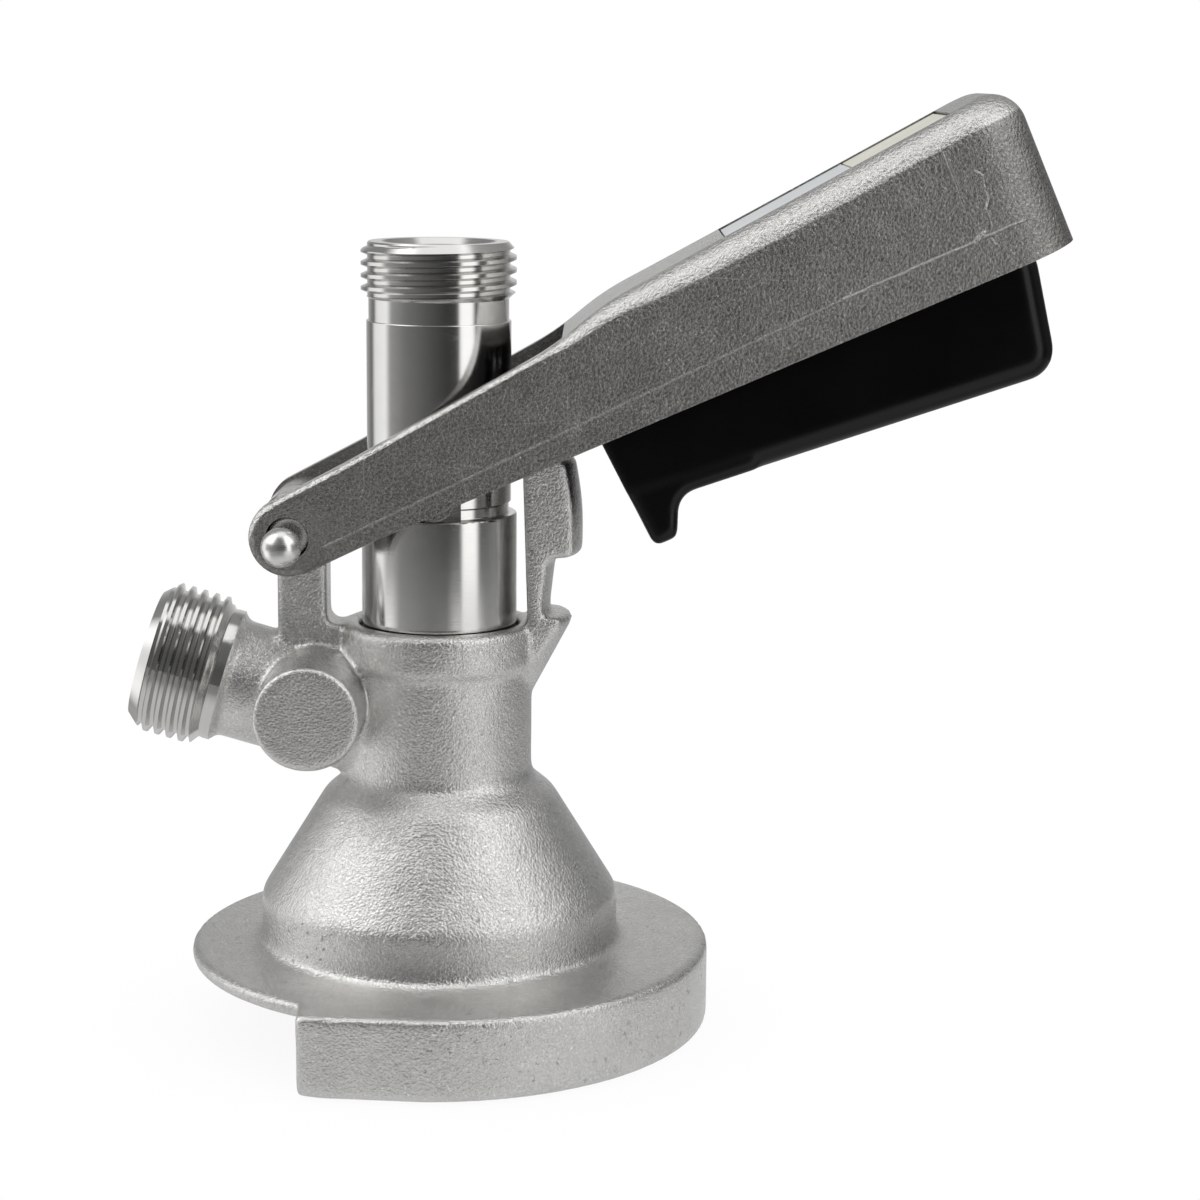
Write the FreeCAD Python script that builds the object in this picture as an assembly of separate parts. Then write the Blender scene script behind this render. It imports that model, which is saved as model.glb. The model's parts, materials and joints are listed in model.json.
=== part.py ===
import FreeCAD, Part
import math
import os

from FreeCAD import Placement, Rotation, Vector

# Keg coupler of the slide-on kind, in millimetres and degrees.
# +Z is the axis of the beer probe, z = 0 is the underside of the base,
# +X points to the free end of the lever, which is modelled raised.

# Clearances
SLIDE_GAP = 0.3
RUNNING_GAP = 0.05
SEAT_GAP = 0.02

# Two places nearer than this are one place
SAME = 0.001

# How far a cutting shape runs past what it cuts
PAST = 1.0
FAR_PAST = 10.0

# How deep a form of one casting is set into its neighbour
SINK_IN = 0.5

# Keg neck that the base slides on to
KEG_FLANGE_R = 34.9
KEG_FLANGE_H = 5.5
KEG_NECK_R = 30.5

# Base with its U-shaped skirt
LIP_H = 4.0
PLATE_H = 2.3
SKIRT_WALL = 5.5
SKIRT_LEG = 18.05
SKIRT_LEG_DRAW_IN = 1.6
PLATE_DISC_R = 39.0
PLATE_DISC_SHIFT = 1.6
BASE_EDGE_ROUND = 0.8

# Bell, neck and collar, stacked on the plate
BELL_FOOT_ROUND = 2.6
BELL_FOOT_STEP = 0.1
BELL_R = 26.85
BELL_BAND_H = 7.4
BELL_BAND_ROUND = 3.0
BELL_CONE_H = 15.6
BELL_CONE_ROUND = 5.0
BELL_SHOULDER_R = 17.2
BELL_SHOULDER_H = 2.7
BELL_WALL = 4.2
CHAMBER_SET_IN = 4.9
CHAMBER_SLOPE_H = 4.3
CHAMBER_TOP_ROUND = 2.0
NECK_R = 13.8
NECK_H = 17.2
NECK_FOOT_ROUND = 1.6
COLLAR_R = 14.68
COLLAR_H = 6.1
COLLAR_ROUND = 1.4
COLLAR_UNDERCUT = 0.6
BORE_CHAMFER = 0.6

# Base seal
SEAL_OUTER_R = 21.4
SEAL_HOLE_R = 13.0
SEAL_STANDS_OUT = 0.8
SEAL_LEDGE = 4.9
SEAL_LEDGE_T = 0.6
SEAL_BEVEL = 1.4
SEAL_EDGE_ROUND = 0.6

# Beer probe, from its shoulder up and down
SLEEVE_R = 11.5
SLEEVE_STANDS = 16.23
SLEEVE_IN_BODY = 20.4
STEM_R = 8.9
STEM_CONE_H = 3.0
FOOT_SPIGOT_R = 6.2
SPIGOT_SET_BACK = 0.6
FOOT_SEAL_R = 8.6
FOOT_SEAL_H = 6.0
FOOT_ABOVE_FLOOR = 10.6
BARREL_R = 10.63
BARREL_H = 28.37
BARREL_RELIEF_H = 1.5
RELIEF_R = 10.3
RELIEF_H = 3.8
BEER_BORE_R = 4.0

# Hose threads, both the same size, drawn as plain shafts at the crest
THREAD_R = 11.4
THREAD_ROOT_R = 10.24
THREAD_H = 7.65
OUTLET_CHAMBER_R = 7.3
OUTLET_CHAMBER_H = 24.9
OUTLET_MOUTH_ROUND = 0.9
OUTLET_CHAMFER_H = 1.3

# Probe ring seal
ORING_CORD_R = 1.35
ORING_BELOW_COLLAR = 1.65
ORING_GROOVE_PLAY = 0.15

# Non-return ball and its cage
BALL_R = 6.0
BALL_LIFT = 2.4
CAGE_H = 2.6
CAGE_RIM = 1.3
CAGE_SPOKES = 3
CAGE_SPOKE_W = 1.8
CAGE_SPOKE_SHARE = 0.7
CAGE_STEP = 0.3

# Gas stub
GAS_TILT = 16.2
GAS_AXIS_Z = 42.85
GAS_NECK_R = 8.87
GAS_NECK_L = 32.6
GAS_SHOULDER_R = 10.0
GAS_SHOULDER_L = 1.6
GAS_RELIEF_L = 1.3
GAS_THREAD_L = 10.1
GAS_CHAMFER_L = 2.2
GAS_SEAT_CHAMFER = 0.8
GAS_THREAD_RUN_IN = 0.8
GAS_SEAT_R = 7.6
GAS_CHANNEL_R = 5.6
GAS_CHANNEL_START = 18.0
GAS_CHANNEL_CONE_L = 2.0
GAS_PORT_R = 2.5
DUCKBILL_FLANGE_H = 1.8
DUCKBILL_WALL = 1.0
DUCKBILL_BARREL_L = 5.5
DUCKBILL_LIP_L = 5.0
DUCKBILL_LIP_T = 1.6
DUCKBILL_LIP_TAPER = 0.86
DUCKBILL_SLIT = 0.3
RETAINER_H = 3.0
RETAINER_HOLE_R = 5.0
RETAINER_ROUND = 0.4
RETAINER_MOUTH_ROUND = 0.8

# Blank boss on the side of the stub
BOSS_R = 7.75
BOSS_ALONG_STUB = 18.84
BOSS_RAISE = 1.7
BOSS_FACE_Y = 20.0
BOSS_EDGE_ROUND = 0.5

# Hinge of the lever
HINGE_OFFSET = 21.0
HINGE_PIN_R = 3.0
HINGE_KNUCKLE_R = 5.3
HINGE_POST_W = 7.35
HINGE_POST_SET_IN = 0.85
HINGE_POST_T = 8.0
HINGE_POST_ROOT_ROUND = 1.8
PIN_BALL_R = 2.85
PIN_NECK_R = 1.95
PIN_BALL_STANDS = 7.4
PIN_END_SET_IN = 2.2
PIN_TAIL = 3.2
PIN_END_ROUND = 0.5
CLIP_R = 5.0
CLIP_T = 0.8
CLIP_GROOVE_DEPTH = 0.7
CLIP_MOUTH_SHARE = 0.85
CLIP_RELIEF_R = 1.0
CLIP_RELIEF_DROP = 1.1

# Lever, in its own frame: u runs along its flat underside, w square to it
LEVER_RAISE = 23.6
LEVER_TRAVEL = 27.0
LEVER_LENGTH = 120.1
LEVER_HALF_W = 15.0
LEVER_WALL = 3.2
LEVER_UNDER = 5.2
LEVER_EYE_R = 5.65
LEVER_EYE_HOLE_R = 3.15
LEVER_EYE_ROUND = 1.2
ARM_TOP_NEAR = 6.6
ARM_TOP_FAR = 10.2
ARM_RISE_START = 12.0
ARM_L = 46.0
ARM_BEND_R = 20.0
HUMP_BEND_R = 40.0
DECK_START = 54.5
DECK_TOP_NEAR = 12.9
DECK_TOP_FAR = 18.75
LEVER_END_ROUND = 5.0
LEVER_CORNER_R = 8.0
ARM_EDGE_ROUND = 1.0
HUMP_EDGE_ROUND = 2.4
DECK_EDGE_ROUND = 3.7
END_EDGE_ROUND = 5.2
DECK_EDGE = 47.5
NUB_R = 2.8
NUB_REACH = 2.9

# Recess and bare plate on top of the lever
RECESS_END_SET_IN = 9.8
RECESS_L = 36.1
RECESS_HALF_W = 10.4
RECESS_DEPTH = 0.9
LABEL_T = 0.6
LABEL_INNER_L = 20.6

# Pull grip under the lever, in the lever's frame
GRIP_START = 46.6
GRIP_END_SET_IN = 6.0
GRIP_TOP = 1.0
GRIP_TOOTH_LOW = 22.5
GRIP_TOOTH_W = 2.4
GRIP_LOW_NEAR = 16.3
GRIP_LOW_FAR = 21.85
GRIP_START_DRAFT = 1.2
GRIP_END_DRAFT = 3.0
GRIP_WALL = 2.4
GRIP_SIDE_GAP = 0.5
GRIP_EDGE_ROUND = 3.0
GRIP_HEEL_ROUND = 4.5
GRIP_END_BEND_R = 12.0
GRIP_TOOTH_ROUND = 1.2
GRIP_TOOTH_EDGE_ROUND = 1.3
GRIP_TOOTH_ROOT_ROUND = 3.4
GRIP_TOOTH_ROOT_L = 2.6
GRIP_TOOTH_BLEND_L = 12.0
GRIP_TOOTH_ROUNDED_H = 4.0
GRIP_TOOTH_SIDE_STEP = 0.1
GRIP_HOLLOW_ROUND = 2.0
GRIP_FOOT_MARGIN = 1.0
GRIP_POCKET_WALL = 3.0
GRIP_STOP_ROOM = 0.2
GRIP_PULL = 1.8
GRIP_LATCH_IN = 1.8

# Guide pins of the grip
GUIDE_PIN_R = 1.5
GUIDE_PIN_SINK = 1.6
GUIDE_PIN_DROP = 2.0
GUIDE_PIN_FROM_GRIP_START = 15.4
GUIDE_PIN_FROM_GRIP_END = 16.0

# Latch plate and its screws
LATCH_T = 1.6
LATCH_W = 11.0
LATCH_FOOT_L = 9.6
LATCH_BEND_R = 1.2
TOOTH_REACH = 3.75
TOOTH_TOP = 2.1
TOOTH_H = 3.1
SCREW_R = 1.0
SCREW_HEAD_R = 1.9
SCREW_HEAD_H = 1.1
SCREW_L = 6.0
SCREW_ALONG_FOOT = 5.8
SCREW_SPACING = 5.5
SCREW_EDGE_ROUND = 0.4
SCREW_SLOT_W = 0.5
SCREW_SLOT_DEPTH = 0.5

# Grip spring
SPRING_R = 2.6
SPRING_WIRE_R = 0.35
SPRING_TURNS = 6
SPRING_IN_GRIP = 8.5
SPRING_SPIGOT_L = 2.2
SPIGOT_GAP = 0.1

# Catch post that holds the lever down
HOOK_REACH = 42.5
HOOK_PLAN_X = 9.0
HOOK_TOP_ROUND = 1.6
HOOK_NOSE_ROUND = 1.2
CATCH_POST_T = 12.0
CATCH_POST_INNER = 12.4
CATCH_POST_INNER_LOW = 13.3
POCKET_H = 8.85
POCKET_PLAN_X = 2.5
POCKET_TOP_R = 14.9
POCKET_LOW_R = 14.1
LEDGE_REACH = 19.8
LEDGE_T = 1.1
GUSSET_H = 12.4
GUSSET_FOOT_H = 3.0
GUSSET_FOOT_DRAW_IN = 0.8
POST_BACK_R = 40.0
POCKET_ROUND = 3.0
POCKET_TOP_ROUND = 1.0
POCKET_FLOOR_H = 2.0
LEDGE_ROUND = 1.0
LEDGE_LIP_ROUND = 0.5

# Sizes and heights that follow
SKIRT_R = KEG_FLANGE_R + SLIDE_GAP + SKIRT_WALL
SLOT_TOP = LIP_H + KEG_FLANGE_H + SLIDE_GAP
PLATE_TOP = SLOT_TOP + PLATE_H
BASE_TOP = PLATE_TOP + BELL_FOOT_ROUND
SEAL_H = BASE_TOP - SLOT_TOP + SEAL_STANDS_OUT
BELL_BAND_TOP = PLATE_TOP + BELL_BAND_H
BELL_CONE_TOP = BELL_BAND_TOP + BELL_CONE_H
BELL_TOP = BELL_CONE_TOP + BELL_SHOULDER_H
COLLAR_FOOT = BELL_TOP + NECK_H
COLLAR_TOP = COLLAR_FOOT + COLLAR_H
SHOULDER_Z = COLLAR_TOP + SLEEVE_STANDS
BARREL_TOP = SHOULDER_Z + BARREL_H
THREAD_FOOT = BARREL_TOP + RELIEF_H
RIM_Z = THREAD_FOOT + THREAD_H
BODY_BORE_R = SLEEVE_R + SLIDE_GAP - RUNNING_GAP

GRIP_END = LEVER_LENGTH - GRIP_END_SET_IN
RECESS_START = LEVER_LENGTH - RECESS_END_SET_IN - RECESS_L
LABEL_SPLIT = RECESS_START + LABEL_INNER_L
SCREW_U = GRIP_START + SCREW_ALONG_FOOT
GUIDE_PINS_U = (GRIP_START + GUIDE_PIN_FROM_GRIP_START, GRIP_END - GUIDE_PIN_FROM_GRIP_END)

# Lever drive: the nubs stand level with the hinge halfway through the travel
HALF_TRAVEL = math.radians(LEVER_TRAVEL / 2)
DRIVE_ARM = HINGE_OFFSET / math.cos(HALF_TRAVEL)
NUB_Z = SHOULDER_Z + SLIDE_GAP + NUB_R
HINGE_Z = NUB_Z - DRIVE_ARM * math.sin(HALF_TRAVEL)
ARM_INNER_Y = LEVER_HALF_W - LEVER_WALL
SLOT_FLOOR_Y = ARM_INNER_Y - NUB_REACH - SLIDE_GAP

# Latch: where the tooth stands when the lever is up and when it is down
LEVER_DOWN = LEVER_RAISE - LEVER_TRAVEL
TOOTH_TIP_U = GRIP_START - TOOTH_REACH
TOOTH_IN_U = TOOTH_TIP_U - GRIP_LATCH_IN
HOOK_FACE_GAP = 0.4
POST_TOP_GAP = 1.0


def lever_xz(u, w, angle):
    """Place of a lever point (u, w) with the lever at an angle above level."""
    turn = math.radians(angle)
    x = -HINGE_OFFSET + u * math.cos(turn) - w * math.sin(turn)
    z = HINGE_Z + u * math.sin(turn) + w * math.cos(turn)
    return x, z


HOOK_UNDER_Z = lever_xz(TOOTH_IN_U, -TOOTH_TOP, LEVER_DOWN)[1] + HOOK_FACE_GAP
POST_TOP_Z = lever_xz(TOOTH_IN_U, -TOOTH_TOP - TOOTH_H, LEVER_RAISE)[1] - POST_TOP_GAP


# Drawing helpers

def on_xz(a, b):
    return Vector(a, 0, b)


def on_xy(a, b):
    return Vector(a, b, 0)


def corner_arc(before, corner, after, radius):
    """End points and middle of the arc that rounds a corner."""
    to_before = (before - corner).normalize()
    to_after = (after - corner).normalize()
    half = to_before.getAngle(to_after) / 2
    room = 0.49 * min((before - corner).Length, (after - corner).Length)
    run = min(radius / math.tan(half), room)
    true_radius = run * math.tan(half)
    middle_line = (to_before + to_after).normalize()
    middle = corner + middle_line * (true_radius / math.sin(half) - true_radius)
    return corner + to_before * run, middle, corner + to_after * run


def outline(corners, plane):
    """Closed wire through corners (a, b) or (a, b, rounding radius)."""
    points = [plane(c[0], c[1]) for c in corners]
    radii = [c[2] if len(c) > 2 else 0 for c in corners]
    count = len(corners)
    edges = []
    starts = []
    ends = []
    for i in range(count):
        if radii[i] > 0:
            enter, middle, leave = corner_arc(points[i - 1], points[i], points[(i + 1) % count], radii[i])
            edges.append(Part.Arc(enter, middle, leave).toShape())
        else:
            enter = leave = points[i]
        starts.append(enter)
        ends.append(leave)
    for i in range(count):
        if (starts[(i + 1) % count] - ends[i]).Length > 1e-6:
            edges.append(Part.LineSegment(ends[i], starts[(i + 1) % count]).toShape())
    return Part.Wire(Part.__sortEdges__(edges))


def turned(corners):
    """Solid of revolution about Z from (radius, height) corners."""
    face = Part.Face(outline(corners, on_xz))
    return face.revolve(Vector(0, 0, 0), Vector(0, 0, 1), 360)


def side_slab(corners, half_width):
    """Slab across Y from (x, z) corners."""
    face = Part.Face(outline(corners, on_xz))
    face.translate(Vector(0, -half_width, 0))
    return face.extrude(Vector(0, 2 * half_width, 0))


def plan_slab(corners, low, high):
    """Slab up Z from (x, y) corners."""
    face = Part.Face(outline(corners, on_xy))
    face.translate(Vector(0, 0, low))
    return face.extrude(Vector(0, 0, high - low))


def block(x0, x1, y0, y1, z0, z1):
    return Part.makeBox(x1 - x0, y1 - y0, z1 - z0, Vector(x0, y0, z0))


def rod(radius, start, end):
    span = end - start
    return Part.makeCylinder(radius, span.Length, start, span)


def cross_rod(radius, x, z, y0, y1):
    return rod(radius, Vector(x, y0, z), Vector(x, y1, z))


def rounded_edges(shape, radius, wanted):
    edges = [e for e in shape.Edges if wanted(e)]
    return shape.makeFillet(radius, edges)


def growing_edges(shape, radius_at, wanted):
    """Round edges with a radius that changes along them."""
    document = FreeCAD.newDocument("rounding")
    blank = document.addObject("Part::Feature", "blank")
    blank.Shape = shape
    rounded = document.addObject("Part::Fillet", "rounded")
    rounded.Base = blank
    rounding = []
    for number, edge in enumerate(shape.Edges, 1):
        if wanted(edge):
            first = edge.valueAt(edge.FirstParameter)
            last = edge.valueAt(edge.LastParameter)
            if edge.Orientation == "Reversed":
                first, last = last, first
            rounding.append((number, radius_at(first), radius_at(last)))
    rounded.Edges = rounding
    document.recompute()
    result = rounded.Shape.copy()
    FreeCAD.closeDocument(document.Name)
    return result


def tidy(shape):
    """One clean solid, or a group of them."""
    shape = shape.removeSplitter()
    if len(shape.Solids) == 1:
        return shape.Solids[0]
    return Part.makeCompound(shape.Solids)


def on_stub(shape):
    """Move a shape drawn up Z on to the gas stub's axis."""
    tilt = Rotation(Vector(0, 1, 0), -(90 - GAS_TILT))
    return shape.transformed(Placement(Vector(0, 0, GAS_AXIS_Z), tilt).toMatrix())


def on_lever(shape):
    """Move a shape drawn in the lever's frame to the raised lever."""
    tilt = Rotation(Vector(0, 1, 0), -LEVER_RAISE)
    return shape.transformed(Placement(Vector(-HINGE_OFFSET, 0, HINGE_Z), tilt).toMatrix())


# Body

def u_slab(half_width, leg_end, draw_in, low, high):
    """Slab in the shape of a U that is round towards +X."""
    start = Vector(-leg_end, -(half_width - draw_in), low)
    spring_low = Vector(0, -half_width, low)
    nose = Vector(half_width, 0, low)
    spring_high = Vector(0, half_width, low)
    finish = Vector(-leg_end, half_width - draw_in, low)
    edges = [
        Part.LineSegment(start, spring_low).toShape(),
        Part.Arc(spring_low, nose, spring_high).toShape(),
        Part.LineSegment(spring_high, finish).toShape(),
        Part.LineSegment(finish, start).toShape(),
    ]
    return Part.Face(Part.Wire(edges)).extrude(Vector(0, 0, high - low))


def is_leg_end_bottom(edge):
    """Edge across the two legs at the floor, which the slots cut away."""
    middle = edge.CenterOfMass
    return abs(middle.y) < 1e-6 and middle.x < 0


def make_skirt():
    """Whole U of the skirt under the plate, with its slots for a keg neck."""
    past_end = PLATE_DISC_R + FAR_PAST
    skirt = u_slab(SKIRT_R, SKIRT_LEG, SKIRT_LEG_DRAW_IN, 0, PLATE_TOP)
    skirt = rounded_edges(skirt, BASE_EDGE_ROUND, lambda e: not is_leg_end_bottom(e))
    flange_slot = u_slab(KEG_FLANGE_R + SLIDE_GAP, past_end, 0, LIP_H, SLOT_TOP)
    neck_slot = u_slab(KEG_NECK_R + SLIDE_GAP, past_end, 0, -PAST, LIP_H)
    return skirt.cut(flange_slot).cut(neck_slot)


def make_base_plate():
    """Round plate over the slots, with the foot of the bell and the seal's hole."""
    disc = rod(PLATE_DISC_R, Vector(PLATE_DISC_SHIFT, 0, SLOT_TOP), Vector(PLATE_DISC_SHIFT, 0, PLATE_TOP))
    disc = rounded_edges(disc, BASE_EDGE_ROUND, lambda e: isinstance(e.Curve, Part.Circle))
    foot = turned([
        (0, SLOT_TOP),
        (BELL_R + BELL_FOOT_ROUND, SLOT_TOP),
        (BELL_R + BELL_FOOT_ROUND, PLATE_TOP + BELL_FOOT_STEP),
        (BELL_R + BELL_FOOT_STEP, PLATE_TOP + BELL_FOOT_STEP, BELL_FOOT_ROUND - BELL_FOOT_STEP),
        (BELL_R, BASE_TOP),
        (0, BASE_TOP),
    ])
    seal_hole = rod(SEAL_OUTER_R + SEAT_GAP, Vector(0, 0, LIP_H), Vector(0, 0, BASE_TOP + PAST))
    reach = SKIRT_R + FAR_PAST
    above_slot = block(-reach, reach, -reach, reach, SLOT_TOP, BASE_TOP)
    plate = make_skirt().common(above_slot).fuse(disc).fuse(foot)
    return tidy(plate.cut(seal_hole))


def make_base_wall():
    """Wall of the skirt beside the slot for the keg flange."""
    below_plate = u_slab(SKIRT_R + PAST, SKIRT_LEG + PAST, 0, -PAST, SLOT_TOP)
    inside = u_slab(KEG_FLANGE_R + SLIDE_GAP, SKIRT_LEG + FAR_PAST, 0, -2 * PAST, SLOT_TOP + PAST)
    return tidy(make_skirt().common(below_plate.cut(inside)))


def make_base_lip():
    """Lip that reaches under the keg flange."""
    inside = u_slab(KEG_FLANGE_R + SLIDE_GAP, SKIRT_LEG + FAR_PAST, 0, -PAST, LIP_H + PAST)
    return tidy(make_skirt().common(inside))


def make_bell():
    """Turned outside of the bell, neck and collar."""
    return turned([
        (0, BASE_TOP),
        (BELL_R, BASE_TOP),
        (BELL_R, BELL_BAND_TOP, BELL_BAND_ROUND),
        (BELL_SHOULDER_R, BELL_CONE_TOP, BELL_CONE_ROUND),
        (NECK_R, BELL_TOP, NECK_FOOT_ROUND),
        (NECK_R, COLLAR_FOOT - COLLAR_UNDERCUT, COLLAR_UNDERCUT),
        (COLLAR_R, COLLAR_FOOT, COLLAR_ROUND),
        (COLLAR_R, COLLAR_TOP, COLLAR_ROUND),
        (0, COLLAR_TOP),
    ])


def make_bell_inside():
    """Gas chamber and probe bore, open to the seal below."""
    chamber_r = BELL_R - CHAMBER_SET_IN
    ledge_r = SEAL_OUTER_R - SEAL_LEDGE
    slope_r = BELL_SHOULDER_R - BELL_WALL
    slope_shift = 1.2
    return turned([
        (0, BASE_TOP - PAST),
        (ledge_r, BASE_TOP - PAST),
        (ledge_r, BASE_TOP + SEAL_LEDGE_T),
        (chamber_r, BASE_TOP + CHAMBER_SLOPE_H, 1.0),
        (chamber_r, BELL_BAND_TOP + slope_shift, CHAMBER_TOP_ROUND),
        (slope_r, BELL_CONE_TOP - slope_shift, 1.5),
        (BODY_BORE_R, BELL_CONE_TOP + BORE_CHAMFER),
        (BODY_BORE_R, COLLAR_TOP - BORE_CHAMFER),
        (BODY_BORE_R + BORE_CHAMFER, COLLAR_TOP),
        (BODY_BORE_R + BORE_CHAMFER, COLLAR_TOP + PAST),
        (0, COLLAR_TOP + PAST),
    ])


def gas_stub_stations():
    """Distances along the stub where its forms change."""
    shoulder_end = GAS_NECK_L + GAS_SHOULDER_L
    relief_end = shoulder_end + GAS_RELIEF_L
    end = relief_end + GAS_THREAD_L
    return shoulder_end, relief_end, end


def make_gas_stub():
    shoulder_end, relief_end, end = gas_stub_stations()
    return on_stub(turned([
        (0, 0),
        (GAS_NECK_R, 0),
        (GAS_NECK_R, GAS_NECK_L, 1.0),
        (GAS_SHOULDER_R, GAS_NECK_L + 0.2, 0.4),
        (GAS_SHOULDER_R, shoulder_end),
        (THREAD_ROOT_R - SLIDE_GAP, shoulder_end),
        (THREAD_ROOT_R - SLIDE_GAP, relief_end - GAS_THREAD_RUN_IN),
        (THREAD_R, relief_end + 0.3),
        (THREAD_R, end - GAS_CHAMFER_L),
        (THREAD_R - GAS_CHAMFER_L * 0.9, end),
        (0, end),
    ]))


def make_gas_channel():
    shoulder_end, relief_end, end = gas_stub_stations()
    return on_stub(turned([
        (0, 0),
        (GAS_PORT_R, 0),
        (GAS_PORT_R, GAS_CHANNEL_START),
        (GAS_CHANNEL_R, GAS_CHANNEL_START + GAS_CHANNEL_CONE_L),
        (GAS_CHANNEL_R, shoulder_end),
        (GAS_SEAT_R, shoulder_end),
        (GAS_SEAT_R, end - GAS_SEAT_CHAMFER),
        (GAS_SEAT_R + GAS_SEAT_CHAMFER, end),
        (GAS_SEAT_R + GAS_SEAT_CHAMFER, end + PAST),
        (0, end + PAST),
    ]))


def make_blank_boss():
    """Round boss with no bore, standing off the stub towards the front."""
    tilt = math.radians(GAS_TILT)
    x = -BOSS_ALONG_STUB * math.cos(tilt)
    z = GAS_AXIS_Z + BOSS_ALONG_STUB * math.sin(tilt) + BOSS_RAISE
    boss = cross_rod(BOSS_R, x, z, -BOSS_FACE_Y, 0)
    return rounded_edges(boss, BOSS_EDGE_ROUND, lambda e: abs(e.CenterOfMass.y + BOSS_FACE_Y) < SAME)


def make_hinge_post():
    """Single rib with a round knuckle between the two arms of the lever."""
    middle = -HINGE_OFFSET + HINGE_POST_SET_IN
    left = middle - HINGE_POST_W / 2
    right = middle + HINGE_POST_W / 2
    tilt = math.radians(GAS_TILT)
    root_z = GAS_AXIS_Z - middle * math.tan(tilt)
    rib = side_slab([
        (left, root_z),
        (-NECK_R + SINK_IN, root_z),
        (-NECK_R + SINK_IN, COLLAR_TOP - SINK_IN),
        (right, COLLAR_TOP - SINK_IN, HINGE_POST_ROOT_ROUND),
        (right, HINGE_Z),
        (left, HINGE_Z),
    ], HINGE_POST_T / 2)
    half = HINGE_POST_T / 2
    knuckle = cross_rod(HINGE_KNUCKLE_R, -HINGE_OFFSET, HINGE_Z, -half, half)
    return rib.fuse(knuckle)


def hook_back_x(z):
    """Back of the hook, on an arc round the hinge."""
    return -HINGE_OFFSET + math.sqrt(HOOK_REACH ** 2 - (z - HINGE_Z) ** 2)


def make_catch_post():
    """Post with an arched back, a hook, a pocket and a ledge, turned in plan."""
    ledge_z = HOOK_UNDER_Z - POCKET_H
    gusset_z = ledge_z - GUSSET_H
    middle_z = (HOOK_UNDER_Z + POST_TOP_Z) / 2
    nose_r = hook_back_x(HOOK_UNDER_Z) - HOOK_PLAN_X
    middle_r = hook_back_x(middle_z) - HOOK_PLAN_X
    top_r = hook_back_x(POST_TOP_Z) - HOOK_PLAN_X
    ledge_r = LEDGE_REACH - HOOK_PLAN_X
    gusset_r = NECK_R - HOOK_PLAN_X
    blank = turned([
        (0, gusset_z - GUSSET_FOOT_H),
        (gusset_r - GUSSET_FOOT_DRAW_IN, gusset_z - GUSSET_FOOT_H),
        (gusset_r, gusset_z),
        (ledge_r, ledge_z - LEDGE_T, LEDGE_ROUND),
        (ledge_r, ledge_z),
        (nose_r, HOOK_UNDER_Z),
        (middle_r, middle_z, POST_BACK_R),
        (top_r, POST_TOP_Z, HOOK_TOP_ROUND),
        (0, POST_TOP_Z),
    ])
    blank.translate(Vector(HOOK_PLAN_X, 0, 0))
    pocket = turned([
        (POCKET_LOW_R, ledge_z),
        (POCKET_LOW_R + FAR_PAST, ledge_z),
        (POCKET_LOW_R + FAR_PAST, HOOK_UNDER_Z),
        (POCKET_TOP_R, HOOK_UNDER_Z, POCKET_TOP_ROUND),
        (POCKET_LOW_R, ledge_z + POCKET_FLOOR_H, POCKET_ROUND),
    ])
    pocket.translate(Vector(POCKET_PLAN_X, 0, 0))
    reach = -HINGE_OFFSET + HOOK_REACH + FAR_PAST
    buried = NECK_R - 5
    window = side_slab([
        (CATCH_POST_INNER, POST_TOP_Z + PAST),
        (reach, POST_TOP_Z + PAST),
        (reach, gusset_z - 2),
        (buried, gusset_z - 2),
        (buried, COLLAR_TOP - SINK_IN),
        (CATCH_POST_INNER_LOW, COLLAR_TOP - SINK_IN),
    ], CATCH_POST_T / 2)
    post = tidy(blank.cut(pocket).common(window))
    post = rounded_edges(post, HOOK_NOSE_ROUND, is_hook_nose)
    return rounded_edges(post, LEDGE_LIP_ROUND, is_ledge_lip)


def is_hook_nose(edge):
    """Lower outer edge of the hook."""
    return is_post_arc(edge, HOOK_UNDER_Z)


def is_ledge_lip(edge):
    """Upper outer edge of the ledge."""
    return is_post_arc(edge, HOOK_UNDER_Z - POCKET_H)


def is_post_arc(edge, height):
    """Outermost arc of the catch post at a height."""
    level = edge.BoundBox.ZLength < SAME and abs(edge.CenterOfMass.z - height) < SAME
    outside_pocket = edge.CenterOfMass.x > POCKET_PLAN_X + POCKET_TOP_R + SAME
    return level and isinstance(edge.Curve, Part.Circle) and outside_pocket


def make_body():
    """Casting above the base: bell, neck, gas stub, hinge post and catch post."""
    body = make_bell().fuse(make_gas_stub())
    body = body.fuse(make_blank_boss())
    body = body.fuse(make_hinge_post())
    body = body.fuse(make_catch_post())
    body = body.cut(make_bell_inside())
    body = body.cut(make_gas_channel())
    pin_hole = cross_rod(HINGE_PIN_R + RUNNING_GAP, -HINGE_OFFSET, HINGE_Z, -HINGE_POST_T, HINGE_POST_T)
    return tidy(body.cut(pin_hole))


def make_base_seal():
    low = SLOT_TOP - SEAL_STANDS_OUT
    return turned([
        (SEAL_HOLE_R, low + SEAL_STANDS_OUT, SEAL_EDGE_ROUND),
        (SEAL_HOLE_R + SEAL_BEVEL, low, SEAL_EDGE_ROUND),
        (SEAL_OUTER_R - SEAL_BEVEL, low, SEAL_EDGE_ROUND),
        (SEAL_OUTER_R, low + SEAL_STANDS_OUT, SEAL_EDGE_ROUND),
        (SEAL_OUTER_R, low + SEAL_H),
        (SEAL_HOLE_R, low + SEAL_H),
    ])


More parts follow.
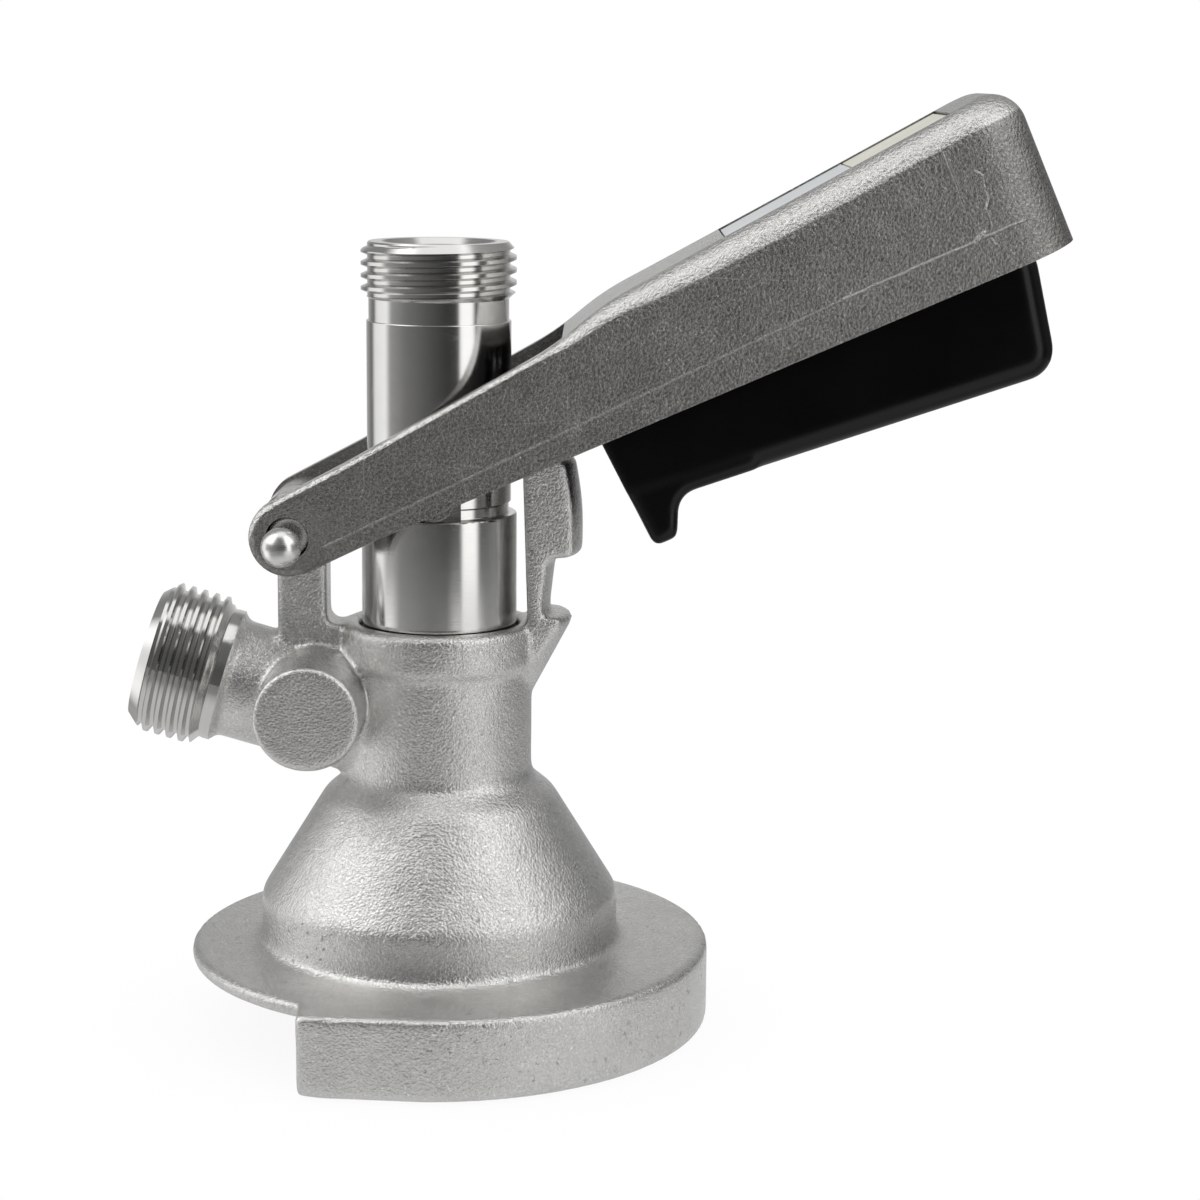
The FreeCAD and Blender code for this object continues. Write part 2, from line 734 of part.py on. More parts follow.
def make_gas_check_valve():
    """Rubber duckbill: a flange, a thin tube and two lips that meet."""
    seat = gas_stub_stations()[0]
    tube_r = GAS_CHANNEL_R - SLIDE_GAP
    hole_r = tube_r - DUCKBILL_WALL
    lip_z = seat - DUCKBILL_BARREL_L
    tip_z = lip_z - DUCKBILL_LIP_L
    flange = rod(GAS_SEAT_R - SEAT_GAP, Vector(0, 0, seat), Vector(0, 0, seat + DUCKBILL_FLANGE_H))
    tube = rod(tube_r, Vector(0, 0, lip_z), Vector(0, 0, seat + 0.1))
    lips_round = Part.makeCone(tube_r * DUCKBILL_LIP_TAPER, tube_r, DUCKBILL_LIP_L, Vector(0, 0, tip_z))
    wedge = plan_wedge(tube_r + 1, DUCKBILL_LIP_T / 2, tube_r + 0.2, tip_z, lip_z)
    valve = flange.fuse(tube).fuse(lips_round.common(wedge))
    hollow_wedge = plan_wedge(hole_r, DUCKBILL_SLIT / 2, hole_r - 0.2, tip_z - PAST, lip_z)
    hollow = rod(hole_r, Vector(0, 0, lip_z - 0.1), Vector(0, 0, seat + DUCKBILL_FLANGE_H + PAST))
    return tidy(on_stub(valve.cut(hollow).cut(hollow_wedge)))


def plan_wedge(half_x, half_tip, half_root, low, high):
    """Wedge along X whose thickness in Y grows from its tip to its root."""
    profile = [
        Vector(-half_x, -half_tip, low),
        Vector(-half_x, half_tip, low),
        Vector(-half_x, half_root, high),
        Vector(-half_x, -half_root, high),
    ]
    face = Part.Face(Part.makePolygon(profile + profile[:1]))
    return face.extrude(Vector(2 * half_x, 0, 0))


def make_gas_valve_retainer():
    low = gas_stub_stations()[0] + DUCKBILL_FLANGE_H
    return on_stub(turned([
        (RETAINER_HOLE_R, low),
        (GAS_SEAT_R - SEAT_GAP, low),
        (GAS_SEAT_R - SEAT_GAP, low + RETAINER_H, RETAINER_ROUND),
        (RETAINER_HOLE_R, low + RETAINER_H, RETAINER_MOUTH_ROUND),
    ]))


def make_hinge_pin():
    """Pin with a ball in front, and a groove for its clip behind."""
    x = -HINGE_OFFSET
    front = -LEVER_HALF_W + PIN_END_SET_IN
    ball_y = -LEVER_HALF_W - PIN_BALL_STANDS
    back = LEVER_HALF_W + PIN_TAIL
    shaft = cross_rod(HINGE_PIN_R, x, HINGE_Z, front, back)
    shaft = rounded_edges(shaft, PIN_END_ROUND, lambda e: isinstance(e.Curve, Part.Circle))
    neck = cross_rod(PIN_NECK_R, x, HINGE_Z, ball_y, front + PAST)
    ball = Part.makeSphere(PIN_BALL_R, Vector(x, ball_y, HINGE_Z))
    groove_y = LEVER_HALF_W + SLIDE_GAP
    groove_w = CLIP_T + 2 * SEAT_GAP
    ring = cross_rod(HINGE_PIN_R + PAST, x, HINGE_Z, groove_y, groove_y + groove_w)
    floor_r = HINGE_PIN_R - CLIP_GROOVE_DEPTH
    ring = ring.cut(cross_rod(floor_r, x, HINGE_Z, groove_y - PAST, groove_y + groove_w + PAST))
    return tidy(shaft.fuse(neck).fuse(ball).cut(ring))


def make_hinge_pin_clip():
    """Open ring pushed into the groove of the pin."""
    x = -HINGE_OFFSET
    y0 = LEVER_HALF_W + SLIDE_GAP + SEAT_GAP
    y1 = y0 + CLIP_T
    floor_r = HINGE_PIN_R - CLIP_GROOVE_DEPTH
    clip = cross_rod(CLIP_R, x, HINGE_Z, y0, y1)
    clip = clip.cut(cross_rod(floor_r + SEAT_GAP, x, HINGE_Z, y0 - PAST, y1 + PAST))
    half_mouth = floor_r * CLIP_MOUTH_SHARE
    mouth = block(x - half_mouth, x + half_mouth, y0 - PAST, y1 + PAST, HINGE_Z - CLIP_R - PAST, HINGE_Z)
    relief = cross_rod(CLIP_RELIEF_R, x, HINGE_Z + CLIP_R - CLIP_RELIEF_DROP, y0 - PAST, y1 + PAST)
    return tidy(clip.cut(mouth).cut(relief))


# Probe

def make_probe_tube():
    spigot_top = FOOT_ABOVE_FLOOR + FOOT_SEAL_H
    sleeve_foot = COLLAR_TOP - SLEEVE_IN_BODY
    groove_z = COLLAR_TOP - ORING_BELOW_COLLAR
    groove_r = BODY_BORE_R - RUNNING_GAP - 2 * ORING_CORD_R - SEAT_GAP
    half_groove = ORING_CORD_R + ORING_GROOVE_PLAY
    probe = turned([
        (0, FOOT_ABOVE_FLOOR + SPIGOT_SET_BACK),
        (FOOT_SPIGOT_R, FOOT_ABOVE_FLOOR + SPIGOT_SET_BACK, 0.4),
        (FOOT_SPIGOT_R, spigot_top),
        (STEM_R, spigot_top, 0.4),
        (STEM_R, sleeve_foot - STEM_CONE_H, 1.0),
        (SLEEVE_R, sleeve_foot, 0.6),
        (SLEEVE_R, groove_z - half_groove),
        (groove_r, groove_z - half_groove),
        (groove_r, groove_z + half_groove),
        (SLEEVE_R, groove_z + half_groove),
        (SLEEVE_R, SHOULDER_Z, 0.35),
        (RELIEF_R, SHOULDER_Z, 0.3),
        (RELIEF_R, SHOULDER_Z + BARREL_RELIEF_H),
        (BARREL_R, SHOULDER_Z + BARREL_RELIEF_H + 0.3),
        (BARREL_R, BARREL_TOP, 0.2),
        (RELIEF_R, BARREL_TOP),
        (RELIEF_R, THREAD_FOOT - 0.6),
        (THREAD_R, THREAD_FOOT + 0.4),
        (THREAD_R, RIM_Z - OUTLET_CHAMFER_H),
        (THREAD_ROOT_R, RIM_Z),
        (0, RIM_Z),
    ])
    seat_r = OUTLET_CHAMBER_R
    seat_foot = RIM_Z - OUTLET_CHAMBER_H
    cage_seat = cage_seat_z()
    cage_r = seat_r + CAGE_STEP
    bore = turned([
        (0, FOOT_ABOVE_FLOOR),
        (BEER_BORE_R, FOOT_ABOVE_FLOOR),
        (BEER_BORE_R, seat_foot),
        (seat_r, seat_foot + seat_r - BEER_BORE_R),
        (seat_r, cage_seat),
        (cage_r, cage_seat),
        (cage_r, RIM_Z - OUTLET_MOUTH_ROUND),
        (cage_r + OUTLET_MOUTH_ROUND, RIM_Z),
        (cage_r + OUTLET_MOUTH_ROUND, RIM_Z + PAST),
        (0, RIM_Z + PAST),
    ])
    probe = probe.cut(bore)
    slot_top = NUB_Z + NUB_R + SLIDE_GAP
    sway = DRIVE_ARM - HINGE_OFFSET
    half_slot = NUB_R + sway + SLIDE_GAP
    for side in (-1, 1):
        y_near = side * SLOT_FLOOR_Y
        y_far = side * (BARREL_R + PAST)
        slot = block(-half_slot, half_slot, min(y_near, y_far), max(y_near, y_far), SHOULDER_Z, slot_top)
        probe = probe.cut(slot)
    return tidy(probe)


def ball_centre_z():
    """Height of the ball where it rests on the cone, which is cut at 45 degrees."""
    seat_foot = RIM_Z - OUTLET_CHAMBER_H
    return seat_foot - BEER_BORE_R + BALL_R * math.sqrt(2) + RUNNING_GAP


def cage_seat_z():
    return ball_centre_z() + BALL_R + BALL_LIFT + SLIDE_GAP


def make_probe_oring():
    centre_r = BODY_BORE_R - RUNNING_GAP - ORING_CORD_R
    return Part.makeTorus(centre_r, ORING_CORD_R, Vector(0, 0, COLLAR_TOP - ORING_BELOW_COLLAR))


def make_probe_foot_seal():
    low = FOOT_ABOVE_FLOOR
    high = low + FOOT_SEAL_H
    return turned([
        (FOOT_SPIGOT_R, low + 0.4, 0.2),
        (FOOT_SPIGOT_R + 0.9, low, 0.4),
        (FOOT_SEAL_R - 0.7, low, 0.6),
        (FOOT_SEAL_R, low + 1.6, 0.8),
        (FOOT_SEAL_R - 0.3, high, 0.3),
        (FOOT_SPIGOT_R, high),
    ])


def make_ball_cage():
    """Ring with spokes that keeps the ball from leaving with the beer."""
    low = cage_seat_z()
    outer = OUTLET_CHAMBER_R + CAGE_STEP - SEAT_GAP
    ring = rod(outer, Vector(0, 0, low), Vector(0, 0, low + CAGE_H))
    cage = ring.cut(rod(outer - CAGE_RIM, Vector(0, 0, low - PAST), Vector(0, 0, low + CAGE_H + PAST)))
    spoke_top = low + CAGE_H * CAGE_SPOKE_SHARE
    for i in range(CAGE_SPOKES):
        spoke = block(0, outer - CAGE_RIM / 2, -CAGE_SPOKE_W / 2, CAGE_SPOKE_W / 2, low, spoke_top)
        spoke.rotate(Vector(0, 0, 0), Vector(0, 0, 1), 90 + i * 360 / CAGE_SPOKES)
        cage = cage.fuse(spoke)
    return tidy(cage)


def make_check_ball():
    return Part.makeSphere(BALL_R, Vector(0, 0, ball_centre_z()))


# Lever

def deck_w(u):
    """Height of the flat deck line at u."""
    slope = (DECK_TOP_FAR - DECK_TOP_NEAR) / (LEVER_LENGTH - LEVER_END_ROUND - DECK_START)
    return DECK_TOP_NEAR + (u - DECK_START) * slope


def lever_side_corners():
    return [
        (0, -LEVER_EYE_R),
        (ARM_RISE_START, -LEVER_UNDER, ARM_BEND_R),
        (LEVER_LENGTH, -LEVER_UNDER),
        (LEVER_LENGTH, deck_w(LEVER_LENGTH)),
        (DECK_START, DECK_TOP_NEAR, HUMP_BEND_R),
        (ARM_L, ARM_TOP_FAR, HUMP_BEND_R),
        (ARM_RISE_START, ARM_TOP_NEAR, ARM_BEND_R),
        (0, LEVER_EYE_R),
    ]


def is_lever_top_edge(edge):
    """Edge that runs round the lever between its top and its sides or end."""
    box = edge.BoundBox
    upright = box.XLength < SAME and box.YLength < SAME
    across = box.YLength > 2 * LEVER_HALF_W - PAST
    return edge.CenterOfMass.z > LEVER_EYE_R and not upright and not across


def lever_edge_round(point):
    """Rounding of the lever's top edges: slim on the arms, full at the outer end."""
    stations = [
        (ARM_L - 4, ARM_EDGE_ROUND),
        (ARM_L + 4, HUMP_EDGE_ROUND),
        (DECK_START + 4, DECK_EDGE_ROUND),
        (LEVER_LENGTH - LEVER_CORNER_R, END_EDGE_ROUND),
    ]
    if point.x <= stations[0][0]:
        return ARM_EDGE_ROUND
    for (u0, r0), (u1, r1) in zip(stations, stations[1:]):
        if point.x <= u1:
            return r0 + (r1 - r0) * (point.x - u0) / (u1 - u0)
    return END_EDGE_ROUND


def make_lever_shell():
    """Outside of the lever: side outline, rounded end, growing edge rounding, round eye."""
    shell = side_slab(lever_side_corners(), LEVER_HALF_W)
    plan = plan_slab([
        (-PAST, -LEVER_HALF_W),
        (LEVER_LENGTH, -LEVER_HALF_W, LEVER_CORNER_R),
        (LEVER_LENGTH, LEVER_HALF_W, LEVER_CORNER_R),
        (-PAST, LEVER_HALF_W),
    ], -LEVER_UNDER - PAST, DECK_TOP_FAR + FAR_PAST)
    shell = shell.common(plan).Solids[0]
    shell = growing_edges(shell, lever_edge_round, is_lever_top_edge)
    eye = cross_rod(LEVER_EYE_R, 0, 0, -LEVER_HALF_W, LEVER_HALF_W)
    eye = rounded_edges(eye, LEVER_EYE_ROUND, lambda e: isinstance(e.Curve, Part.Circle))
    return shell.fuse(eye)


def make_lever_inside():
    """Open channel under the deck, and the open slot between the arms."""
    end = LEVER_LENGTH - LEVER_WALL
    start = -LEVER_EYE_R - FAR_PAST
    low = -LEVER_UNDER - FAR_PAST
    channel = side_slab([
        (start, low),
        (end, low),
        (end, deck_w(end) - LEVER_WALL, 3),
        (DECK_START, DECK_TOP_NEAR - LEVER_WALL, 6),
        (DECK_EDGE - 3, ARM_TOP_FAR - LEVER_WALL),
        (start, ARM_TOP_FAR - LEVER_WALL),
    ], ARM_INNER_Y)
    corner_r = LEVER_CORNER_R - LEVER_WALL
    plan = plan_slab([
        (start, -ARM_INNER_Y),
        (end, -ARM_INNER_Y, corner_r),
        (end, ARM_INNER_Y, corner_r),
        (start, ARM_INNER_Y),
    ], low, DECK_TOP_FAR)
    slot = block(start, DECK_EDGE, -ARM_INNER_Y, ARM_INNER_Y, low, DECK_TOP_FAR + FAR_PAST)
    return channel.common(plan).fuse(slot)


def nub_place():
    """The drive nub's centre in the lever's frame, from its place on the probe."""
    turn = math.radians(LEVER_RAISE)
    dx = DRIVE_ARM * math.cos(HALF_TRAVEL)
    dz = DRIVE_ARM * math.sin(HALF_TRAVEL)
    return dx * math.cos(turn) + dz * math.sin(turn), -dx * math.sin(turn) + dz * math.cos(turn)


def make_lever_fork_details():
    """Bosses from the arms to the hinge post, and the nubs that drive the probe."""
    details = []
    boss_end = HINGE_POST_T / 2 + SLIDE_GAP
    nub_u, nub_w = nub_place()
    nub_end = ARM_INNER_Y - NUB_REACH
    for side in (-1, 1):
        in_arm = ARM_INNER_Y + 2 * SINK_IN
        details.append(cross_rod(LEVER_EYE_R - SINK_IN, 0, 0, side * boss_end, side * in_arm))
        details.append(cross_rod(NUB_R, nub_u, nub_w, side * nub_end, side * in_arm))
    return details


def make_label_recess():
    """Shallow recess square to the deck line."""
    end = RECESS_START + RECESS_L
    floor_near = deck_w(RECESS_START) - RECESS_DEPTH
    floor_far = deck_w(end) - RECESS_DEPTH
    recess = side_slab([
        (RECESS_START, floor_near),
        (end, floor_far),
        (end, floor_far + FAR_PAST),
        (RECESS_START, floor_near + FAR_PAST),
    ], RECESS_HALF_W)
    return recess


def make_lever_handle():
    lever = make_lever_shell().cut(make_lever_inside())
    for detail in make_lever_fork_details():
        lever = lever.fuse(detail)
    past_side = LEVER_HALF_W + PAST
    lever = lever.cut(cross_rod(LEVER_EYE_HOLE_R, 0, 0, -past_side, past_side))
    lever = lever.cut(make_label_recess())
    sink = ARM_INNER_Y + GUIDE_PIN_SINK
    for u in GUIDE_PINS_U:
        lever = lever.cut(cross_rod(GUIDE_PIN_R + SEAT_GAP, u, -GUIDE_PIN_DROP, -sink, sink))
    spigot_r = SPRING_R - 2 * SPRING_WIRE_R - SPIGOT_GAP
    in_wall = 2 * SINK_IN
    spigot_root = Vector(LEVER_LENGTH - LEVER_WALL + in_wall, 0, -GUIDE_PIN_DROP)
    spigot = rod(spigot_r, spigot_root - Vector(SPRING_SPIGOT_L + in_wall, 0, 0), spigot_root)
    return tidy(on_lever(lever.fuse(spigot)))


def make_label_plate(start, end):
    """Bare plate on the floor of the recess."""
    low_near = deck_w(start) - RECESS_DEPTH
    low_far = deck_w(end) - RECESS_DEPTH
    plate = side_slab([
        (start, low_near),
        (end, low_far),
        (end, low_far + LABEL_T),
        (start, low_near + LABEL_T),
    ], RECESS_HALF_W - SLIDE_GAP)
    return on_lever(plate)


def make_label_plate_inner():
    return make_label_plate(RECESS_START + SLIDE_GAP, LABEL_SPLIT - SLIDE_GAP / 2)


def make_label_plate_outer():
    return make_label_plate(LABEL_SPLIT + SLIDE_GAP / 2, RECESS_START + RECESS_L - SLIDE_GAP)


def make_guide_pin(u):
    sink = ARM_INNER_Y + GUIDE_PIN_SINK - SEAT_GAP
    return on_lever(cross_rod(GUIDE_PIN_R, u, -GUIDE_PIN_DROP, -sink, sink))


def make_trigger_spring():
    """Coil between the end wall of the lever and the grip."""
    root = LEVER_LENGTH - LEVER_WALL
    length = root - (GRIP_END - SPRING_IN_GRIP) - 2 * SPRING_WIRE_R - 2 * SEAT_GAP
    pitch = length / SPRING_TURNS
    centre_r = SPRING_R - SPRING_WIRE_R
    helix = Part.makeHelix(pitch, length, centre_r)
    start = helix.Edges[0].valueAt(helix.Edges[0].FirstParameter)
    tangent = helix.Edges[0].tangentAt(helix.Edges[0].FirstParameter)
    section = Part.Wire(Part.makeCircle(SPRING_WIRE_R, start, tangent))
    coil = Part.Wire(helix.Edges).makePipeShell([section], True, True)
    coil.rotate(Vector(0, 0, 0), Vector(0, 1, 0), -90)
    coil.translate(Vector(root - SPRING_WIRE_R - SEAT_GAP, 0, -GUIDE_PIN_DROP))
    return on_lever(coil)


# Grip and latch

GRIP_HALF_W = ARM_INNER_Y - GRIP_SIDE_GAP


def grip_low(u):
    """Height of the grip's underside at u."""
    slope = (GRIP_LOW_FAR - GRIP_LOW_NEAR) / (GRIP_END - GRIP_START)
    return -GRIP_LOW_NEAR - (u - GRIP_START) * slope


def grip_face_u(w):
    """Inner end face of the grip, which leans outwards below the lever."""
    share = max(0, -LEVER_UNDER - w) / (GRIP_TOOTH_LOW - LEVER_UNDER)
    return GRIP_START + GRIP_START_DRAFT * share


def make_grip_bar():
    """Long bar of the grip with rounded lower edges."""
    bar = side_slab([
        (GRIP_START, GRIP_TOP),
        (GRIP_START, -LEVER_UNDER),
        (grip_face_u(grip_low(GRIP_START)), grip_low(GRIP_START)),
        (GRIP_END - GRIP_END_DRAFT, grip_low(GRIP_END), GRIP_HEEL_ROUND),
        (GRIP_END, -LEVER_UNDER - PAST, GRIP_END_BEND_R),
        (GRIP_END, GRIP_TOP),
    ], GRIP_HALF_W)
    return rounded_edges(bar, GRIP_EDGE_ROUND, is_grip_lower_edge)


def is_grip_lower_edge(edge):
    """Edge between a side of the grip and its underside or outer end."""
    on_side = all(abs(abs(v.Y) - GRIP_HALF_W) < SAME for v in edge.Vertexes)
    along = edge.BoundBox.YLength < SAME
    middle = edge.CenterOfMass
    return on_side and along and middle.z < GRIP_TOP - SAME and middle.x > GRIP_START + GRIP_START_DRAFT


def make_grip_tooth():
    """Finger hook at the inner end of the grip."""
    tip_end = grip_face_u(-GRIP_TOOTH_LOW) + GRIP_TOOTH_W + GRIP_TOOTH_ROUND
    root = tip_end + GRIP_TOOTH_ROOT_L
    far = root + GRIP_TOOTH_BLEND_L
    tooth = side_slab([
        (GRIP_START, -LEVER_UNDER),
        (grip_face_u(-GRIP_TOOTH_LOW), -GRIP_TOOTH_LOW, GRIP_TOOTH_ROUND),
        (tip_end, -GRIP_TOOTH_LOW, GRIP_TOOTH_ROUND),
        (root, grip_low(root), GRIP_TOOTH_ROOT_ROUND),
        (far, grip_low(far) + SEAT_GAP),
        (far, -LEVER_UNDER),
    ], GRIP_HALF_W - GRIP_TOOTH_SIDE_STEP)
    return rounded_edges(tooth, GRIP_TOOTH_EDGE_ROUND, is_grip_tooth_edge)


def is_grip_tooth_edge(edge):
    on_side = all(abs(abs(v.Y) - GRIP_HALF_W + GRIP_TOOTH_SIDE_STEP) < SAME for v in edge.Vertexes)
    along = edge.BoundBox.YLength < SAME
    return on_side and along and edge.CenterOfMass.z < -GRIP_TOOTH_LOW + GRIP_TOOTH_ROUNDED_H


def make_trigger_grip():
    """Moulded grip: finger hook, hollow top, guide slots, latch seat and spring pocket."""
    half = GRIP_HALF_W
    grip = make_grip_bar().fuse(make_grip_tooth())
    front = GRIP_START + LATCH_FOOT_L + GRIP_FOOT_MARGIN
    back = GRIP_END - SPRING_IN_GRIP - GRIP_POCKET_WALL
    hollow = side_slab([
        (front, GRIP_TOP + PAST),
        (front, grip_low(front) + GRIP_WALL, GRIP_HOLLOW_ROUND),
        (back, grip_low(back) + GRIP_WALL, GRIP_HOLLOW_ROUND),
        (back, GRIP_TOP + PAST),
    ], half - GRIP_WALL)
    grip = grip.cut(hollow)
    slot_r = GUIDE_PIN_R + SLIDE_GAP / 2
    for u in GUIDE_PINS_U:
        z = -GUIDE_PIN_DROP
        u0 = u - GRIP_PULL - GRIP_STOP_ROOM
        u1 = u + GRIP_LATCH_IN + GRIP_STOP_ROOM
        for end in (u0, u1):
            grip = grip.cut(cross_rod(slot_r, end, z, -half - PAST, half + PAST))
        grip = grip.cut(block(u0, u1, -half - PAST, half + PAST, z - slot_r, z + slot_r))
    pocket_start = Vector(GRIP_END - SPRING_IN_GRIP, 0, -GUIDE_PIN_DROP)
    grip = grip.cut(rod(SPRING_R + SLIDE_GAP, pocket_start, Vector(GRIP_END + PAST, 0, -GUIDE_PIN_DROP)))
    for y in screw_places_y():
        low = Vector(SCREW_U, y, GRIP_TOP - SCREW_L + LATCH_T)
        grip = grip.cut(rod(SCREW_R + SEAT_GAP, low, Vector(SCREW_U, y, GRIP_TOP + PAST)))
    return tidy(on_lever(grip))


def screw_places_y():
    return (-SCREW_SPACING / 2, SCREW_SPACING / 2)


def make_latch_plate():
    """Bent steel plate: a foot on the grip, a leg down its end and a tooth."""
    leg = GRIP_START - LATCH_T
    seat = GRIP_TOP + LATCH_T
    plate = side_slab([
        (GRIP_START + LATCH_FOOT_L, GRIP_TOP),
        (GRIP_START, GRIP_TOP),
        (GRIP_START, -TOOTH_TOP - TOOTH_H),
        (TOOTH_TIP_U, -TOOTH_TOP - TOOTH_H, 0.4),
        (TOOTH_TIP_U, -TOOTH_TOP, 0.3),
        (leg, -TOOTH_TOP + 0.2, 0.5),
        (leg, seat, LATCH_BEND_R),
        (GRIP_START + LATCH_FOOT_L, seat, 0.4),
    ], LATCH_W / 2)
    for y in screw_places_y():
        low = Vector(SCREW_U, y, GRIP_TOP - PAST)
        plate = plate.cut(rod(SCREW_R + SEAT_GAP, low, Vector(SCREW_U, y, seat + PAST)))
    return tidy(on_lever(plate))


def make_latch_screws():
    seat = GRIP_TOP + LATCH_T
    screws = []
    for y in screw_places_y():
        shank = rod(SCREW_R, Vector(SCREW_U, y, seat - SCREW_L + SEAT_GAP), Vector(SCREW_U, y, seat + 0.1))
        head = rod(SCREW_HEAD_R, Vector(SCREW_U, y, seat), Vector(SCREW_U, y, seat + SCREW_HEAD_H))
        top = seat + SCREW_HEAD_H
        head = rounded_edges(head, SCREW_EDGE_ROUND, lambda e: abs(e.CenterOfMass.z - top) < SAME)
        half = SCREW_SLOT_W / 2
        across = SCREW_HEAD_R + SCREW_SLOT_DEPTH
        low = top - SCREW_SLOT_DEPTH
        slot = block(SCREW_U - half, SCREW_U + half, y - across, y + across, low, top + PAST)
        screws.append(tidy(shank.fuse(head).cut(slot)))
    return on_lever(Part.makeCompound(screws))


# Every node by name
NODES = {
    "base_plate": make_base_plate,
    "base_wall": make_base_wall,
    "base_lip": make_base_lip,
    "coupler_body": make_body,
    "base_seal": make_base_seal,
    "gas_check_valve": make_gas_check_valve,
    "gas_valve_retainer": make_gas_valve_retainer,
    "hinge_pin": make_hinge_pin,
    "hinge_pin_clip": make_hinge_pin_clip,
    "probe_tube": make_probe_tube,
    "probe_oring": make_probe_oring,
    "probe_foot_seal": make_probe_foot_seal,
    "ball_cage": make_ball_cage,
    "check_ball": make_check_ball,
    "lever_handle": make_lever_handle,
    "label_plate_inner": make_label_plate_inner,
    "label_plate_outer": make_label_plate_outer,
    "guide_pin_inner": lambda: make_guide_pin(GUIDE_PINS_U[0]),
    "guide_pin_outer": lambda: make_guide_pin(GUIDE_PINS_U[1]),
    "trigger_spring": make_trigger_spring,
    "trigger_grip": make_trigger_grip,
    "latch_plate": make_latch_plate,
    "latch_screws": make_latch_screws,
}


def main():
    os.makedirs("parts", exist_ok=True)
    for name, make in NODES.items():
        shape = make()
        shape.exportStep("parts/" + name + ".step")
        print(name, len(shape.Solids), "solids,", round(shape.Volume, 1), "mm3, valid", shape.isValid())


main()
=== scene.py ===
import json
import math

import bpy
from mathutils import Matrix, Vector


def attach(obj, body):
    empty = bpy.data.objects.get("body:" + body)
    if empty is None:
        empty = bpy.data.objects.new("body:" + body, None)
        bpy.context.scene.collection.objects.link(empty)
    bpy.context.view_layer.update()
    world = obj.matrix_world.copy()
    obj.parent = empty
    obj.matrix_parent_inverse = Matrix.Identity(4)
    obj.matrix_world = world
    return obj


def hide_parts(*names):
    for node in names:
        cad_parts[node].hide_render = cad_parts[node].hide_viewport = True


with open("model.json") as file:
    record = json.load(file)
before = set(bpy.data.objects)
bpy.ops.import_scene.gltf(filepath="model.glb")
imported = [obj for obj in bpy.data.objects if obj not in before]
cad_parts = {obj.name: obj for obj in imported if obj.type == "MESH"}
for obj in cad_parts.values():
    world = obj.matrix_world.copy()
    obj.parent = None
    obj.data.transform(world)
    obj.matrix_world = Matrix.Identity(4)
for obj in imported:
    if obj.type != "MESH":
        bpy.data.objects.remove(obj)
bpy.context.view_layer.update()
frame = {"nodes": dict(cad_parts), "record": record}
nodes = frame["nodes"]

MM = 0.001

# Sizes shared with the part's source, in metres
THREAD_CREST_R = 11.4 * MM
THREAD_ROOT_R = 10.45 * MM
THREAD_PITCH = 1.814 * MM
THREAD_CREST_FLAT = 0.5 * MM
THREAD_ROOT_FLAT = 0.45 * MM
RIM_Z = 117.15 * MM
THREAD_FOOT_Z = 109.5 * MM
GAS_TILT = math.radians(16.2)
GAS_AXIS_Z = 42.85 * MM
GAS_CAST_END = 33.5 * MM
GAS_THREAD_START = 35.2 * MM
GAS_THREAD_END = 45.6 * MM
STUB_START = Vector((0, 0, GAS_AXIS_Z))
STUB_WAY = Vector((-math.cos(GAS_TILT), 0, math.sin(GAS_TILT)))
LEVER_SIDE_Y = -15.0 * MM
LEVER_RAISE = math.radians(23.6)
LEVER_UP = (-math.sin(LEVER_RAISE), 0, math.cos(LEVER_RAISE))

# How far the thread cutter stands out past the crests, how far a groove runs on past the foot
# and past the end of a thread, and how far the machined stub end reaches into the casting
CUTTER_PROUD = 0.4 * MM
THREAD_RUN_IN = 1.0 * MM
THREAD_RUN_OUT = 0.9 * MM
STUB_LAP = 0.3 * MM

# Passes of smoothing over a whole moulded piece, and more where its shapes run into each other
MOULD_PASSES = 12
FLOW_PASSES = 30

# Shading of turned pieces: faces closer than this angle share a surface, and a face whose
# normal leans sideways by more than the limit isn't a turned one
SAME_SURFACE = math.cos(math.radians(28))
SIDEWAYS_LIMIT = 0.09

# Camera fitted to the photo
CAMERA_PLACE = (0.023956, -0.410487, 0.141306)
CAMERA_LENS_MM = 83.947
CAMERA_SENSOR_MM = 36.0
CAMERA_TIP = math.radians(90 - 10.653)
CAMERA_ROLL = math.radians(0.504)

# Studio: a closed drum of cards that show in reflections alone, on a pale floor
SCREEN_R = 0.36
SCREEN_HEIGHT = 0.5
SCREEN_LIFT = 0.001
GROUND_CARD_Z = -0.0002
FLOOR_Z = -0.0004
LAMP_AIM = (0, 0, 0.06)
WORLD_LIGHT = 0.72


# Node helpers

def link(tree, source, target):
    tree.links.new(source, target)


def node(tree, kind, **settings):
    """New node with the given settings."""
    made = tree.nodes.new(kind)
    for name, value in settings.items():
        setattr(made, name, value)
    return made


def math_node(tree, operation, a, b=0.5, c=0.5):
    """Value of a maths operation on numbers or sockets."""
    made = node(tree, "ShaderNodeMath", operation=operation)
    for socket, value in zip(made.inputs, (a, b, c)):
        if isinstance(value, (int, float)):
            socket.default_value = value
        else:
            link(tree, value, socket)
    return made.outputs[0]


def vector_math(tree, operation, a, b):
    """Node of a vector operation on tuples or sockets."""
    made = node(tree, "ShaderNodeVectorMath", operation=operation)
    for socket, value in zip(made.inputs, (a, b)):
        if value is None:
            continue
        if isinstance(value, tuple):
            socket.default_value = value
        else:
            link(tree, value, socket)
    return made


def vector_node(tree, operation, a, b):
    return vector_math(tree, operation, a, b).outputs["Vector"]


def vector_value(tree, operation, a, b=None):
    return vector_math(tree, operation, a, b).outputs["Value"]


def scaled(tree, vector, factor):
    made = vector_math(tree, "SCALE", vector, None)
    link(tree, factor, made.inputs["Scale"])
    return made.outputs["Vector"]


